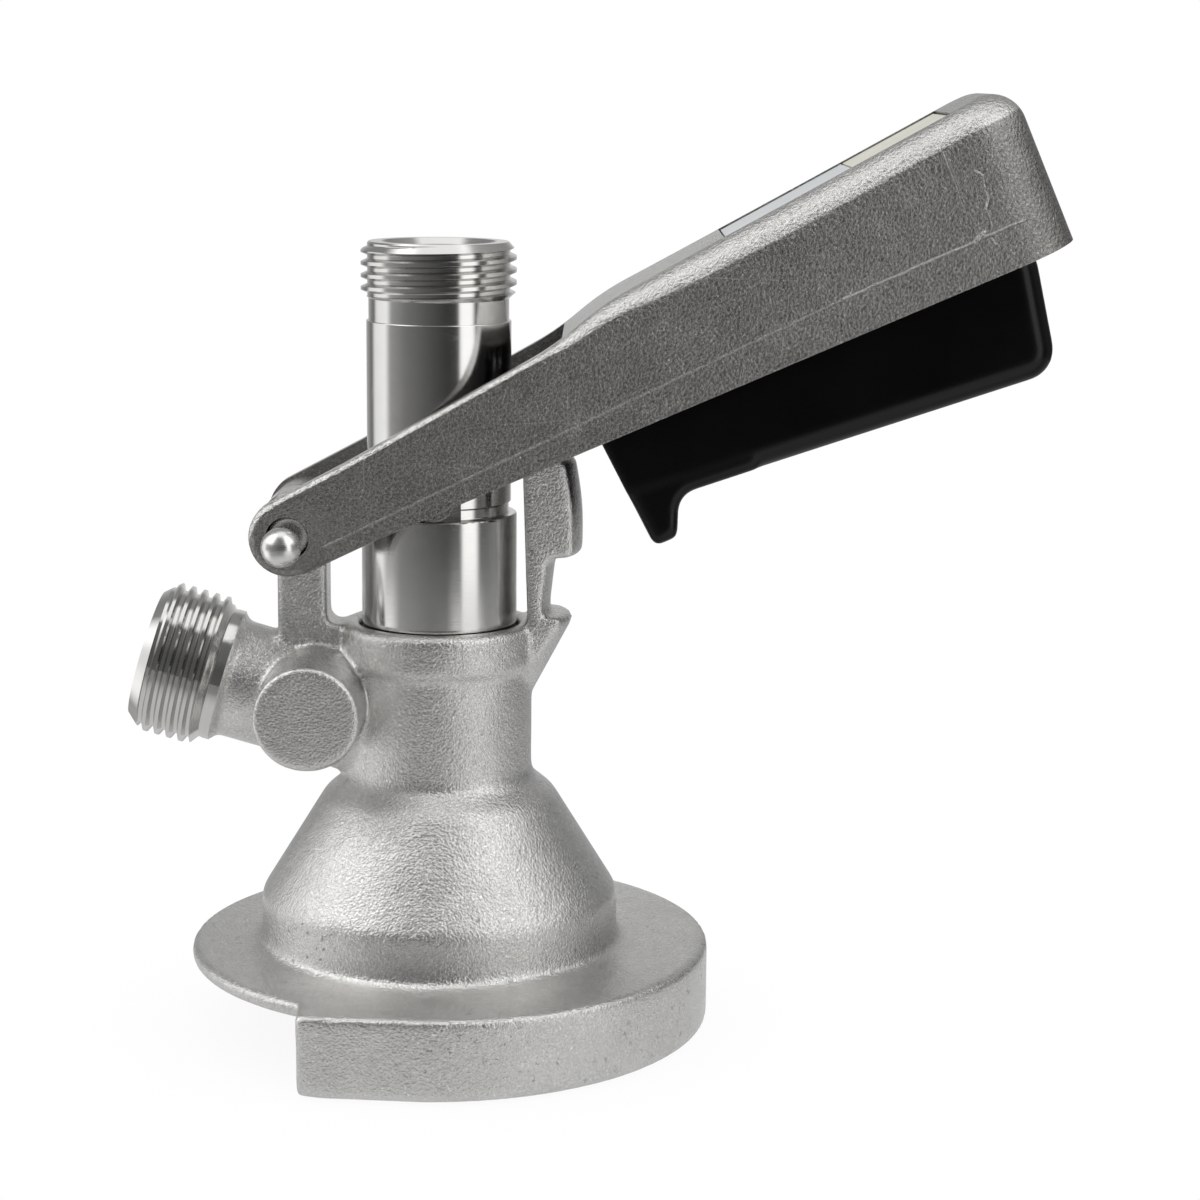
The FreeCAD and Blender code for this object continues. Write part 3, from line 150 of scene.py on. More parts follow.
def ramp(tree, value, stops):
    """Grey shade of a value, through stops of place and shade."""
    made = node(tree, "ShaderNodeValToRGB")
    elements = made.color_ramp.elements
    elements.remove(elements[1])
    elements[0].position = stops[0][0]
    elements[0].color = (stops[0][1],) * 3 + (1,)
    for place, shade in stops[1:]:
        elements.new(place).color = (shade, shade, shade, 1)
    link(tree, value, made.inputs[0])
    return made.outputs[0]


def noise(tree, vector, scale, detail=2.0, rough=0.5, stretch=None):
    """Noise value, with the vector stretched first if a stretch is given."""
    if stretch:
        mapping = node(tree, "ShaderNodeMapping")
        mapping.inputs["Scale"].default_value = stretch
        link(tree, vector, mapping.inputs["Vector"])
        vector = mapping.outputs[0]
    made = node(tree, "ShaderNodeTexNoise")
    made.inputs["Scale"].default_value = scale
    made.inputs["Detail"].default_value = detail
    made.inputs["Roughness"].default_value = rough
    link(tree, vector, made.inputs["Vector"])
    return made.outputs["Fac"]


def new_group(name, inputs, outputs):
    """Empty shader group with its sockets, and its input and output nodes."""
    tree = bpy.data.node_groups.new(name, "ShaderNodeTree")
    for socket_name, kind, default in inputs:
        socket = tree.interface.new_socket(socket_name, in_out="INPUT", socket_type=kind)
        if default is not None:
            socket.default_value = default
    for socket_name, kind in outputs:
        tree.interface.new_socket(socket_name, in_out="OUTPUT", socket_type=kind)
    return tree, node(tree, "NodeGroupInput"), node(tree, "NodeGroupOutput")


def place_group(tree, group, **values):
    """Put a group into a material, with object coordinates as its place."""
    made = node(tree, "ShaderNodeGroup", node_tree=group)
    coordinates = node(tree, "ShaderNodeTexCoord")
    link(tree, coordinates.outputs["Object"], made.inputs["Place"])
    for name, value in values.items():
        made.inputs[name.capitalize()].default_value = value
    return made


# Shared effects

def cast_skin_group():
    """Skin of an investment casting: fine wrinkled grain, soft waves, pits and a mask of painted
    glints.
    """
    tree, inputs, outputs = new_group("cast_skin", [
        ("Place", "NodeSocketVector", None),
        ("Grain", "NodeSocketFloat", 1500.0),
        ("Waves", "NodeSocketFloat", 0.5),
        ("Pits", "NodeSocketFloat", 0.5),
    ], [("Height", "NodeSocketFloat"), ("Shade", "NodeSocketFloat"),
        ("Pit", "NodeSocketFloat"), ("Glint", "NodeSocketFloat")])
    place = inputs.outputs["Place"]
    grain = inputs.outputs["Grain"]
    wrinkle = node(tree, "ShaderNodeTexNoise")
    link(tree, place, wrinkle.inputs["Vector"])
    link(tree, grain, wrinkle.inputs["Scale"])
    wrinkle.inputs["Detail"].default_value = 3.5
    wrinkle.inputs["Roughness"].default_value = 0.6
    wrinkle.inputs["Distortion"].default_value = 0.2
    pebble = node(tree, "ShaderNodeTexVoronoi", feature="SMOOTH_F1")
    link(tree, place, pebble.inputs["Vector"])
    link(tree, math_node(tree, "MULTIPLY", grain, 0.75), pebble.inputs["Scale"])
    slow = noise(tree, place, 330.0, 2.5, 0.55)
    height = math_node(tree, "MULTIPLY_ADD", pebble.outputs["Distance"], -0.25, wrinkle.outputs["Fac"])
    wave = math_node(tree, "MULTIPLY", slow, inputs.outputs["Waves"])
    height = math_node(tree, "MULTIPLY_ADD", wave, 2.4, height)
    patch = ramp(tree, noise(tree, place, 75.0, 3.0, 0.6), [(0.5, 0.0), (0.68, 1.0)])
    speck = ramp(tree, noise(tree, place, 900.0, 2.0, 0.6), [(0.3, 1.0), (0.37, 0.0)])
    pit = math_node(tree, "MULTIPLY", patch, speck)
    pit = math_node(tree, "MULTIPLY", pit, inputs.outputs["Pits"])
    height = math_node(tree, "MULTIPLY_ADD", pit, -0.6, height)
    cloud = math_node(tree, "MULTIPLY", noise(tree, place, 130.0, 4.0, 0.65), 0.4)
    shade = math_node(tree, "MULTIPLY_ADD", wrinkle.outputs["Fac"], 0.6, cloud)
    painted_glint = ramp(tree, noise(tree, place, 2600.0, 1.0, 0.5), [(0.66, 0.0), (0.72, 1.0)])
    link(tree, height, outputs.inputs["Height"])
    link(tree, shade, outputs.inputs["Shade"])
    link(tree, pit, outputs.inputs["Pit"])
    link(tree, painted_glint, outputs.inputs["Glint"])
    return tree


def edge_wear_group():
    """Mask that is 1 on corners and edges, broken up a little."""
    tree, inputs, outputs = new_group("edge_wear", [
        ("Place", "NodeSocketVector", None),
        ("Width", "NodeSocketFloat", 0.0004),
    ], [("Edge", "NodeSocketFloat")])
    bevelled = node(tree, "ShaderNodeBevel", samples=4)
    link(tree, inputs.outputs["Width"], bevelled.inputs["Radius"])
    surface = node(tree, "ShaderNodeNewGeometry")
    same = vector_value(tree, "DOT_PRODUCT", bevelled.outputs[0], surface.outputs["Normal"])
    turn = math_node(tree, "SUBTRACT", 1.0, same)
    broken = noise(tree, inputs.outputs["Place"], 700.0, 2.0, 0.6)
    broken = math_node(tree, "MULTIPLY_ADD", broken, 1.2, 0.4)
    turn = math_node(tree, "MULTIPLY", turn, broken)
    link(tree, ramp(tree, turn, [(0.03, 0.0), (0.22, 1.0)]), outputs.inputs["Edge"])
    return tree


def segment_mark_group():
    """Mask of a thin wavering line between two points, seen square to Y."""
    tree, inputs, outputs = new_group("segment_mark", [
        ("Place", "NodeSocketVector", None),
        ("Start", "NodeSocketVector", None),
        ("End", "NodeSocketVector", None),
        ("Width", "NodeSocketFloat", 0.0002),
        ("Waver", "NodeSocketFloat", 0.0003),
    ], [("Mark", "NodeSocketFloat")])
    shake = node(tree, "ShaderNodeTexNoise")
    link(tree, inputs.outputs["Place"], shake.inputs["Vector"])
    shake.inputs["Scale"].default_value = 420.0
    shake.inputs["Detail"].default_value = 2.0
    centred = vector_node(tree, "SUBTRACT", shake.outputs["Color"], (0.5, 0.5, 0.5))
    shift = scaled(tree, centred, inputs.outputs["Waver"])
    moved = vector_node(tree, "ADD", inputs.outputs["Place"], shift)
    flat = vector_node(tree, "MULTIPLY", moved, (1, 0, 1))
    along = vector_node(tree, "SUBTRACT", inputs.outputs["End"], inputs.outputs["Start"])
    away = vector_node(tree, "SUBTRACT", flat, inputs.outputs["Start"])
    reach = vector_value(tree, "DOT_PRODUCT", away, along)
    span = vector_value(tree, "DOT_PRODUCT", along, along)
    part = node(tree, "ShaderNodeClamp")
    link(tree, math_node(tree, "DIVIDE", reach, span), part.inputs["Value"])
    nearest = scaled(tree, along, part.outputs[0])
    gap = vector_value(tree, "LENGTH", vector_node(tree, "SUBTRACT", away, nearest))
    share = math_node(tree, "DIVIDE", gap, inputs.outputs["Width"])
    link(tree, ramp(tree, share, [(0.35, 1.0), (1.0, 0.0)]), outputs.inputs["Mark"])
    return tree


def fine_scratch_group():
    """Sparse hairline scratches running both ways."""
    tree, inputs, outputs = new_group("fine_scratches", [
        ("Place", "NodeSocketVector", None),
        ("Amount", "NodeSocketFloat", 0.5),
    ], [("Scratch", "NodeSocketFloat")])
    place = inputs.outputs["Place"]
    lines = noise(tree, place, 260.0, 1.0, 0.4, (0.06, 1.0, 1.0))
    others = noise(tree, place, 230.0, 1.0, 0.4, (1.0, 1.0, 0.07))
    one = ramp(tree, lines, [(0.492, 0.0), (0.5, 1.0), (0.508, 0.0)])
    two = ramp(tree, others, [(0.493, 0.0), (0.5, 1.0), (0.507, 0.0)])
    where = ramp(tree, noise(tree, place, 60.0, 2.0), [(0.52, 0.0), (0.66, 1.0)])
    both = math_node(tree, "MAXIMUM", one, two)
    both = math_node(tree, "MULTIPLY", both, where)
    both = math_node(tree, "MULTIPLY", both, inputs.outputs["Amount"])
    link(tree, both, outputs.inputs["Scratch"])
    return tree


def turning_marks_group():
    """Fine rings left by the lathe, round the Z axis of the place vector."""
    tree, inputs, outputs = new_group("turning_marks", [
        ("Place", "NodeSocketVector", None),
        ("Pitch", "NodeSocketFloat", 5000.0),
    ], [("Ring", "NodeSocketFloat")])
    split = node(tree, "ShaderNodeSeparateXYZ")
    link(tree, inputs.outputs["Place"], split.inputs[0])
    count = math_node(tree, "MULTIPLY", split.outputs["Z"], inputs.outputs["Pitch"])
    fine = node(tree, "ShaderNodeTexNoise", noise_dimensions="1D")
    link(tree, count, fine.inputs["W"])
    fine.inputs["Scale"].default_value = 1.0
    fine.inputs["Detail"].default_value = 3.0
    link(tree, fine.outputs["Fac"], outputs.inputs["Ring"])
    return tree


CAST_SKIN = cast_skin_group()
EDGE_WEAR = edge_wear_group()
SEGMENT_MARK = segment_mark_group()
SCRATCHES = fine_scratch_group()
TURNING = turning_marks_group()


# Materials

def new_material(name, metallic, roughness, colour):
    """Material with its node tree and its shader."""
    material = bpy.data.materials.new(name)
    material.use_nodes = True
    tree = material.node_tree
    shader = tree.nodes["Principled BSDF"]
    shader.inputs["Metallic"].default_value = metallic
    shader.inputs["Roughness"].default_value = roughness
    shader.inputs["Base Color"].default_value = (*colour, 1)
    return material, tree, shader


def mix_colour(tree, factor, low, high):
    """Mix of two colours, each a tuple or a socket."""
    made = node(tree, "ShaderNodeMix", data_type="RGBA")
    colours = [socket for socket in made.inputs if socket.type == "RGBA"]
    for socket, value in zip(colours, (low, high)):
        if isinstance(value, tuple):
            socket.default_value = (*value, 1)
        else:
            link(tree, value, socket)
    link(tree, factor, made.inputs[0])
    return [socket for socket in made.outputs if socket.type == "RGBA"][0]


def times(colour, factor, most=1.0):
    """A colour made darker or brighter, up to a limit."""
    return tuple(min(value * factor, most) for value in colour)


def bump(tree, height, distance):
    made = node(tree, "ShaderNodeBump")
    made.inputs["Distance"].default_value = distance
    made.inputs["Strength"].default_value = 1.0
    link(tree, height, made.inputs["Height"])
    return made.outputs["Normal"]


def painted_top_light_mask(tree):
    """Mask of the lever's upward-facing top edges, where a lighter colour is painted as light from
    above.
    """
    facing = node(tree, "ShaderNodeTexCoord").outputs["Normal"]
    rise = vector_value(tree, "DOT_PRODUCT", facing, LEVER_UP)
    return ramp(tree, rise, [(0.28, 0.0), (0.34, 1.0)])


def side_marks(tree, marks):
    """Lines on the near side of the lever: the mould's parting line and old knocks."""
    total = 0.0
    for start, end, width, waver, strength in marks:
        made = place_group(tree, SEGMENT_MARK, width=width * MM, waver=waver * MM)
        made.inputs["Start"].default_value = (start[0] * MM, 0, start[1] * MM)
        made.inputs["End"].default_value = (end[0] * MM, 0, end[1] * MM)
        total = math_node(tree, "MULTIPLY_ADD", made.outputs["Mark"], strength, total)
    split = node(tree, "ShaderNodeSeparateXYZ")
    link(tree, node(tree, "ShaderNodeTexCoord").outputs["Object"], split.inputs[0])
    near = math_node(tree, "LESS_THAN", split.outputs["Y"], LEVER_SIDE_Y + 1.0 * MM)
    total = math_node(tree, "MULTIPLY", total, near)
    return math_node(tree, "MINIMUM", total, 1.0)


def cast_metal(name, dark, light, rough, grain, waves, pits, relief, wear, wear_width, marks=()):
    """Cast steel: two tones in the skin's grain, dark pits, painted glints and worn edges; with marks,
    painted top light on the upward-facing edges too.
    """
    material, tree, shader = new_material(name, 1.0, 0.4, light)
    skin = place_group(tree, CAST_SKIN, grain=grain, waves=waves, pits=pits)
    scratch = place_group(tree, SCRATCHES, amount=0.5)
    worn = place_group(tree, EDGE_WEAR, width=wear_width).outputs["Edge"]
    worn = math_node(tree, "MULTIPLY", worn, wear)
    # Painted glints: pale specks of highlight mixed into the colour
    painted_glint = math_node(tree, "MULTIPLY", skin.outputs["Glint"], 0.7)
    bright = times(light, 1.35, 0.93)
    tone = ramp(tree, skin.outputs["Shade"], [(0.32, 0.0), (0.68, 1.0)])
    colour = mix_colour(tree, tone, dark, light)
    colour = mix_colour(tree, skin.outputs["Pit"], colour, times(dark, 0.3))
    colour = mix_colour(tree, painted_glint, colour, bright)
    colour = mix_colour(tree, worn, colour, bright)
    height = math_node(tree, "MULTIPLY_ADD", scratch.outputs["Scratch"], -0.3, skin.outputs["Height"])
    if marks:
        # Painted top light: the lever's upward-facing edges are made lighter in colour
        ground = math_node(tree, "MULTIPLY", painted_top_light_mask(tree), 0.85)
        colour = mix_colour(tree, ground, colour, PAINTED_TOP_LIGHT_TONE)
        mark = side_marks(tree, marks)
        colour = mix_colour(tree, mark, colour, bright)
        height = math_node(tree, "MULTIPLY_ADD", mark, 0.8, height)
    smooth, coarse = rough
    roughness = math_node(tree, "MULTIPLY_ADD", skin.outputs["Shade"], coarse - smooth, smooth)
    link(tree, colour, shader.inputs["Base Color"])
    link(tree, roughness, shader.inputs["Roughness"])
    link(tree, bump(tree, height, relief), shader.inputs["Normal"])
    return material


def turned_metal(name, colour, rough, ring_depth):
    """Turned steel: fine rings, faint clouds, hairline scratches and worn corners."""
    material, tree, shader = new_material(name, 1.0, rough, colour)
    rings = place_group(tree, TURNING, pitch=5200.0)
    scratch = place_group(tree, SCRATCHES, amount=0.6)
    worn = place_group(tree, EDGE_WEAR, width=0.15 * MM).outputs["Edge"]
    worn = math_node(tree, "MULTIPLY", worn, 0.5)
    place = node(tree, "ShaderNodeTexCoord").outputs["Object"]
    cloud = noise(tree, place, 160.0, 3.0, 0.6)
    shade = mix_colour(tree, cloud, times(colour, 0.86), colour)
    shade = mix_colour(tree, worn, shade, times(colour, 1.2, 0.9))
    roughness = math_node(tree, "MULTIPLY_ADD", rings.outputs["Ring"], 0.1, rough - 0.05)
    roughness = math_node(tree, "MULTIPLY_ADD", scratch.outputs["Scratch"], 0.12, roughness)
    height = math_node(tree, "MULTIPLY_ADD", scratch.outputs["Scratch"], -0.08, rings.outputs["Ring"])
    link(tree, shade, shader.inputs["Base Color"])
    link(tree, roughness, shader.inputs["Roughness"])
    link(tree, bump(tree, height, ring_depth), shader.inputs["Normal"])
    return material


def moulded_plastic(name, colour, rough, grain, relief, gloss=0.5):
    """Moulded plastic or rubber: fine grain, faint clouds in colour and sheen."""
    material, tree, shader = new_material(name, 0.0, rough, colour)
    place = node(tree, "ShaderNodeTexCoord").outputs["Object"]
    fine = noise(tree, place, grain, 3.0, 0.6)
    cloud = noise(tree, place, 90.0, 3.0, 0.6)
    roughness = math_node(tree, "MULTIPLY_ADD", cloud, 0.14, rough - 0.07)
    link(tree, mix_colour(tree, cloud, times(colour, 0.8), colour), shader.inputs["Base Color"])
    link(tree, roughness, shader.inputs["Roughness"])
    link(tree, bump(tree, fine, relief), shader.inputs["Normal"])
    shader.inputs["Specular IOR Level"].default_value = gloss
    return material


# Painted top light: lighter tone of the lever's upward-facing top edges
PAINTED_TOP_LIGHT_TONE = (0.72, 0.715, 0.7)

# Start, end (X and Z in mm), width and waver in mm, and strength of each line on the lever's side
LEVER_MARKS = [
    ((-15.7, 74.3), (60.0, 111.4), 0.16, 0.25, 0.3),
    ((58.0, 110.4), (83.2, 121.7), 0.24, 0.5, 0.75),
    ((75.9, 128.4), (77.0, 127.7), 0.26, 0.5, 0.9),
    ((77.0, 127.7), (77.8, 124.6), 0.24, 0.6, 0.9),
    ((77.8, 124.6), (77.5, 123.2), 0.28, 0.5, 1.0),
    ((77.5, 123.2), (78.6, 120.7), 0.2, 0.5, 0.8),
    ((76.2, 118.6), (77.5, 119.7), 0.5, 0.6, 1.0),
    ((78.5, 119.0), (79.1, 118.2), 0.2, 0.3, 0.8),
    ((71.3, 130.9), (73.5, 125.7), 0.14, 0.12, 0.7),
    ((71.6, 131.0), (73.8, 125.9), 0.1, 0.12, 0.4),
    ((73.6, 125.4), (74.3, 123.4), 0.12, 0.2, 0.35),
]

# Tones, smoothest and roughest place, scale of the grain, and amounts of each effect
CAST_LOOKS = {
    "cast_stainless": {
        "dark": (0.62, 0.615, 0.6), "light": (0.79, 0.785, 0.77), "rough": (0.18, 0.3),
        "grain": 2700.0, "waves": 0.3, "pits": 0.6, "relief": 0.17 * MM,
        "wear": 0.45, "wear_width": 0.6 * MM,
    },
    "lever_stainless": {
        "dark": (0.2, 0.196, 0.188), "light": (0.34, 0.335, 0.322), "rough": (0.18, 0.32),
        "grain": 2200.0, "waves": 0.14, "pits": 0.3, "relief": 0.26 * MM,
        "wear": 0.75, "wear_width": 0.35 * MM, "marks": LEVER_MARKS,
    },
}

# Colour, roughness and depth of the rings
TURNED_LOOKS = {
    "stub_thread": ((0.72, 0.715, 0.7), 0.11, 0.0015 * MM),
    "turned_stainless": ((0.7, 0.695, 0.68), 0.15, 0.0015 * MM),
    "pin_steel": ((0.78, 0.775, 0.76), 0.27, 0.003 * MM),
    "spring_steel": ((0.42, 0.42, 0.41), 0.3, 0.002 * MM),
}

# Colour, roughness, scale and depth of the grain, and gloss where it isn't the usual one
MOULDED_LOOKS = {
    "seal_rubber": ((0.02, 0.02, 0.021), 0.55, 3000.0, 0.02 * MM),
    "valve_rubber": ((0.46, 0.43, 0.38), 0.6, 2500.0, 0.02 * MM),
    "clear_plastic": ((0.74, 0.72, 0.66), 0.4, 2500.0, 0.01 * MM),
    "ball_plastic": ((0.8, 0.79, 0.74), 0.25, 2500.0, 0.005 * MM),
    "label_plastic": ((0.72, 0.745, 0.76), 0.4, 1500.0, 0.008 * MM, 0.3),
    "label_plastic_warm": ((0.8, 0.785, 0.69), 0.4, 1500.0, 0.008 * MM, 0.3),
    "grip_plastic": ((0.0012, 0.0012, 0.0014), 0.22, 4200.0, 0.004 * MM, 0.25),
}

MATERIALS = {}
for slot, look in CAST_LOOKS.items():
    MATERIALS[slot] = cast_metal(slot, **look)
for slot, look in TURNED_LOOKS.items():
    MATERIALS[slot] = turned_metal(slot, *look)
for slot, look in MOULDED_LOOKS.items():
    MATERIALS[slot] = moulded_plastic(slot, *look)


def give_material(piece, slot):
    piece.data.materials.clear()
    piece.data.materials.append(MATERIALS[slot])


for part in frame["record"]["subparts"]:
    give_material(nodes[part["node"]], part["material_slot"])


# Pieces shown in place of CAD nodes: threads, casting and grip

def select_only(piece):
    bpy.ops.object.select_all(action="DESELECT")
    piece.select_set(True)
    bpy.context.view_layer.objects.active = piece


def change(piece, kind, **settings):
    """Put a modifier on a piece and apply it."""
    modifier = piece.modifiers.new("change", kind)
    for name, value in settings.items():
        setattr(modifier, name, value)
    select_only(piece)
    bpy.ops.object.modifier_apply(modifier="change")


def tidy_mesh(piece, distance, close_ends=False):
    """Join points that lie together and turn every face outwards."""
    select_only(piece)
    bpy.ops.object.mode_set(mode="EDIT")
    bpy.ops.mesh.select_all(action="SELECT")
    bpy.ops.mesh.remove_doubles(threshold=distance)
    if close_ends:
        bpy.ops.mesh.fill_holes(sides=4)
        bpy.ops.mesh.select_all(action="SELECT")
    bpy.ops.mesh.normals_make_consistent(inside=False)
    bpy.ops.object.mode_set(mode="OBJECT")


def merged_copy(name, piece_name):
    """Copy of a CAD node with its loose triangles joined."""
    source = nodes[name]
    piece = source.copy()
    piece.data = source.data.copy()
    piece.name = piece_name
    bpy.context.collection.objects.link(piece)
    tidy_mesh(piece, 0.002 * MM)
    return piece


def thread_cutter(low, high):
    """Helical bar up Z with the section of one thread groove."""
    bpy.ops.object.select_all(action="DESELECT")
    bpy.ops.mesh.primitive_plane_add(size=1)
    cutter = bpy.context.object
    mouth = THREAD_PITCH - THREAD_CREST_FLAT
    outside = THREAD_CREST_R + CUTTER_PROUD
    slope = (mouth - THREAD_ROOT_FLAT) / (THREAD_CREST_R - THREAD_ROOT_R)
    outer_height = THREAD_ROOT_FLAT + slope * (outside - THREAD_ROOT_R)
    for vertex in cutter.data.vertices:
        outer = vertex.co.x > 0
        side = 1 if vertex.co.y > 0 else -1
        radius = outside if outer else THREAD_ROOT_R
        half = (outer_height if outer else THREAD_ROOT_FLAT) / 2
        vertex.co = (radius, 0, low + side * half)
    turns = (high - low) / THREAD_PITCH
    steps = int(96 * turns)
    change(cutter, "SCREW", angle=2 * math.pi * turns, screw_offset=high - low,
           steps=steps, render_steps=steps, use_merge_vertices=False)
    tidy_mesh(cutter, 0.001 * MM, close_ends=True)
    return cutter


def combine(piece, other, operation):
    """Cut another mesh from a piece, or join it on, and drop the other mesh."""
    change(piece, "BOOLEAN", operation=operation, solver="EXACT", object=other)
    bpy.data.objects.remove(other, do_unlink=True)


def from_axis(point, start, way):
    """Unit vector from an axis to a point."""
    away = point - start
    return (away - way * away.dot(way)).normalized()


def turned_shading(piece, start, way):
    """Shade a piece as turned about an axis: no facets round it, corners kept."""
    mesh = piece.data
    select_only(piece)
    bpy.ops.object.shade_smooth()
    corner_normals = [None] * len(mesh.loops)
    at_vertex = [[] for _ in mesh.vertices]
    for face in mesh.polygons:
        out = from_axis(face.center, start, way)
        along = face.normal.dot(way)
        outward = face.normal.dot(out)
        sideways = (face.normal - way * along - out * outward).length
        for corner in face.loop_indices:
            vertex = mesh.loops[corner].vertex_index
            normal = face.normal.copy()
            if sideways < SIDEWAYS_LIMIT:
                normal = way * along + from_axis(mesh.vertices[vertex].co, start, way) * outward
                normal.normalize()
            corner_normals[corner] = normal
            at_vertex[vertex].append((normal, face.area))
    shading = []
    for corner in mesh.loops:
        own = corner_normals[corner.index]
        total = own * 0.0
        for other, area in at_vertex[corner.vertex_index]:
            if own.dot(other) > SAME_SURFACE:
                total += other * area
        shading.append(total.normalized())
    mesh.normals_split_custom_set(shading)


def within(value, low, high, fade):
    """1 between two bounds, falling to 0 at them over the given length."""
    return max(0.0, min(1.0, (value - low) / fade, (high - value) / fade))


def smooth_where(piece, weight_of):
    """Smooth a piece further, by a weight that depends on the place."""
    area = piece.vertex_groups.new(name="flow")
    for vertex in piece.data.vertices:
        weight = weight_of(vertex.co)
        if weight > 0:
            area.add([vertex.index], weight, "REPLACE")
    change(piece, "SMOOTH", factor=0.5, iterations=FLOW_PASSES, vertex_group="flow")


def soften(piece, cell, most_triangles, softer_at=None):
    """Round off every corner and blend every root, as a mould does."""
    change(piece, "REMESH", mode="VOXEL", voxel_size=cell)
    change(piece, "SMOOTH", factor=0.5, iterations=MOULD_PASSES)
    if softer_at:
        smooth_where(piece, softer_at)
    triangles = 2 * len(piece.data.polygons)
    if triangles > most_triangles:
        change(piece, "DECIMATE", ratio=most_triangles / triangles)
    bpy.ops.object.shade_smooth()


def make_threaded_probe():
    """Probe with its real thread."""
    piece = merged_copy("probe_tube", "probe_tube_threaded")
    cutter = thread_cutter(THREAD_FOOT_Z - THREAD_RUN_IN, RIM_Z + THREAD_RUN_OUT)
    combine(piece, cutter, "DIFFERENCE")
    turned_shading(piece, Vector((0, 0, 0)), Vector((0, 0, 1)))
    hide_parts("probe_tube")
    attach(piece, "probe")


def cut_square_to_stub(piece, along, keep_outer):
    """Cut a piece square to the gas stub and close the cut."""
    place = STUB_START + STUB_WAY * along
    select_only(piece)
    bpy.ops.object.mode_set(mode="EDIT")
    bpy.ops.mesh.select_all(action="SELECT")
    bpy.ops.mesh.bisect(plane_co=place, plane_no=STUB_WAY, use_fill=True,
                        clear_inner=keep_outer, clear_outer=not keep_outer)
    bpy.ops.object.mode_set(mode="OBJECT")


def make_stub_end():
    """Machined end of the gas stub with its thread."""
    piece = merged_copy("coupler_body", "gas_stub_thread")
    cutter = thread_cutter(GAS_THREAD_START, GAS_THREAD_END + THREAD_RUN_OUT)
    tilt = Matrix.Rotation(-(math.pi / 2 - GAS_TILT), 4, "Y")
    cutter.matrix_world = Matrix.Translation((0, 0, GAS_AXIS_Z)) @ tilt
    bpy.context.view_layer.update()
    cut_square_to_stub(piece, GAS_CAST_END - STUB_LAP, True)
    combine(piece, cutter, "DIFFERENCE")
    turned_shading(piece, STUB_START, STUB_WAY)
    give_material(piece, "stub_thread")
    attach(piece, "root")


def casting_flow(at):
    """Where the casting's shapes run into each other most: bell's shoulder and foot, leg ends."""
    shoulder = within(at.z, 35 * MM, 44 * MM, 3 * MM) * within(at.xy.length, 9 * MM, 31 * MM, 3 * MM)
    leg_end = within(at.x, -25 * MM, -14.5 * MM, 2 * MM) * within(at.z, -5 * MM, 9.5 * MM, 2 * MM)
    foot = within(at.z, 9.5 * MM, 14 * MM, 2 * MM) * within(at.xy.length, 23 * MM, 33 * MM, 2 * MM)
    return max(shoulder, foot, leg_end * within(abs(at.y), 33 * MM, 50 * MM, 1 * MM))


def make_casting():
    """Body and base as the one casting that they are, with the soft edges of its mould."""
    names = ["coupler_body", "base_plate", "base_wall", "base_lip"]
    piece = merged_copy(names[0], "casting")
    for name in names[1:]:
        combine(piece, merged_copy(name, name + "_copy"), "UNION")
    soften(piece, cell=0.45 * MM, most_triangles=190000, softer_at=casting_flow)
    cut_square_to_stub(piece, GAS_CAST_END, False)
    give_material(piece, "cast_stainless")
    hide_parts(*names)
    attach(piece, "root")


def make_soft_grip():
    """Grip with the flowing edges of a moulding."""
    piece = merged_copy("trigger_grip", "trigger_grip_moulded")
    soften(piece, cell=0.4 * MM, most_triangles=120000)
    give_material(piece, "grip_plastic")
    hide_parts("trigger_grip")
    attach(piece, "trigger")


make_threaded_probe()
make_stub_end()
make_casting()
make_soft_grip()


# Floor, light and camera

def make_floor():
    """White backdrop; near the object a tenth of what is seen is paper that takes its shadow."""
    bpy.ops.object.select_all(action="DESELECT")
    bpy.ops.mesh.primitive_plane_add(size=30, location=(0, 0, FLOOR_Z))
    floor = bpy.context.object
    floor.name = "studio_floor"
    material, tree, shader = new_material("floor_paper", 0.0, 0.9, (0.93, 0.93, 0.93))
    place = node(tree, "ShaderNodeTexCoord").outputs["Object"]
    away = vector_value(tree, "LENGTH", place)
    far = ramp(tree, away, [(0.03, 0.9), (0.06, 1.0)])
    seen = node(tree, "ShaderNodeLightPath").outputs["Is Camera Ray"]
    white = node(tree, "ShaderNodeEmission")
    white.inputs["Color"].default_value = (1, 1, 1, 1)
    mix = node(tree, "ShaderNodeMixShader")
    link(tree, math_node(tree, "MULTIPLY", far, seen), mix.inputs[0])
    link(tree, shader.outputs[0], mix.inputs[1])
    link(tree, white.outputs[0], mix.inputs[2])
    link(tree, mix.outputs[0], tree.nodes["Material Output"].inputs["Surface"])
    floor.data.materials.append(material)


def make_world():
    """White surroundings, weaker as soft light than as seen or reflected."""
    world = bpy.data.worlds.new("studio")
    bpy.context.scene.world = world
    world.use_nodes = True
    tree = world.node_tree
    background = tree.nodes["Background"]
    background.inputs["Color"].default_value = (1, 1, 1, 1)
    rays = node(tree, "ShaderNodeLightPath")
    seen = math_node(tree, "MAXIMUM", rays.outputs["Is Camera Ray"], rays.outputs["Is Glossy Ray"])
    seen = math_node(tree, "MAXIMUM", seen, rays.outputs["Is Transmission Ray"])
    strength = math_node(tree, "MULTIPLY_ADD", seen, 1.0 - WORLD_LIGHT, WORLD_LIGHT)
    link(tree, strength, background.inputs["Strength"])


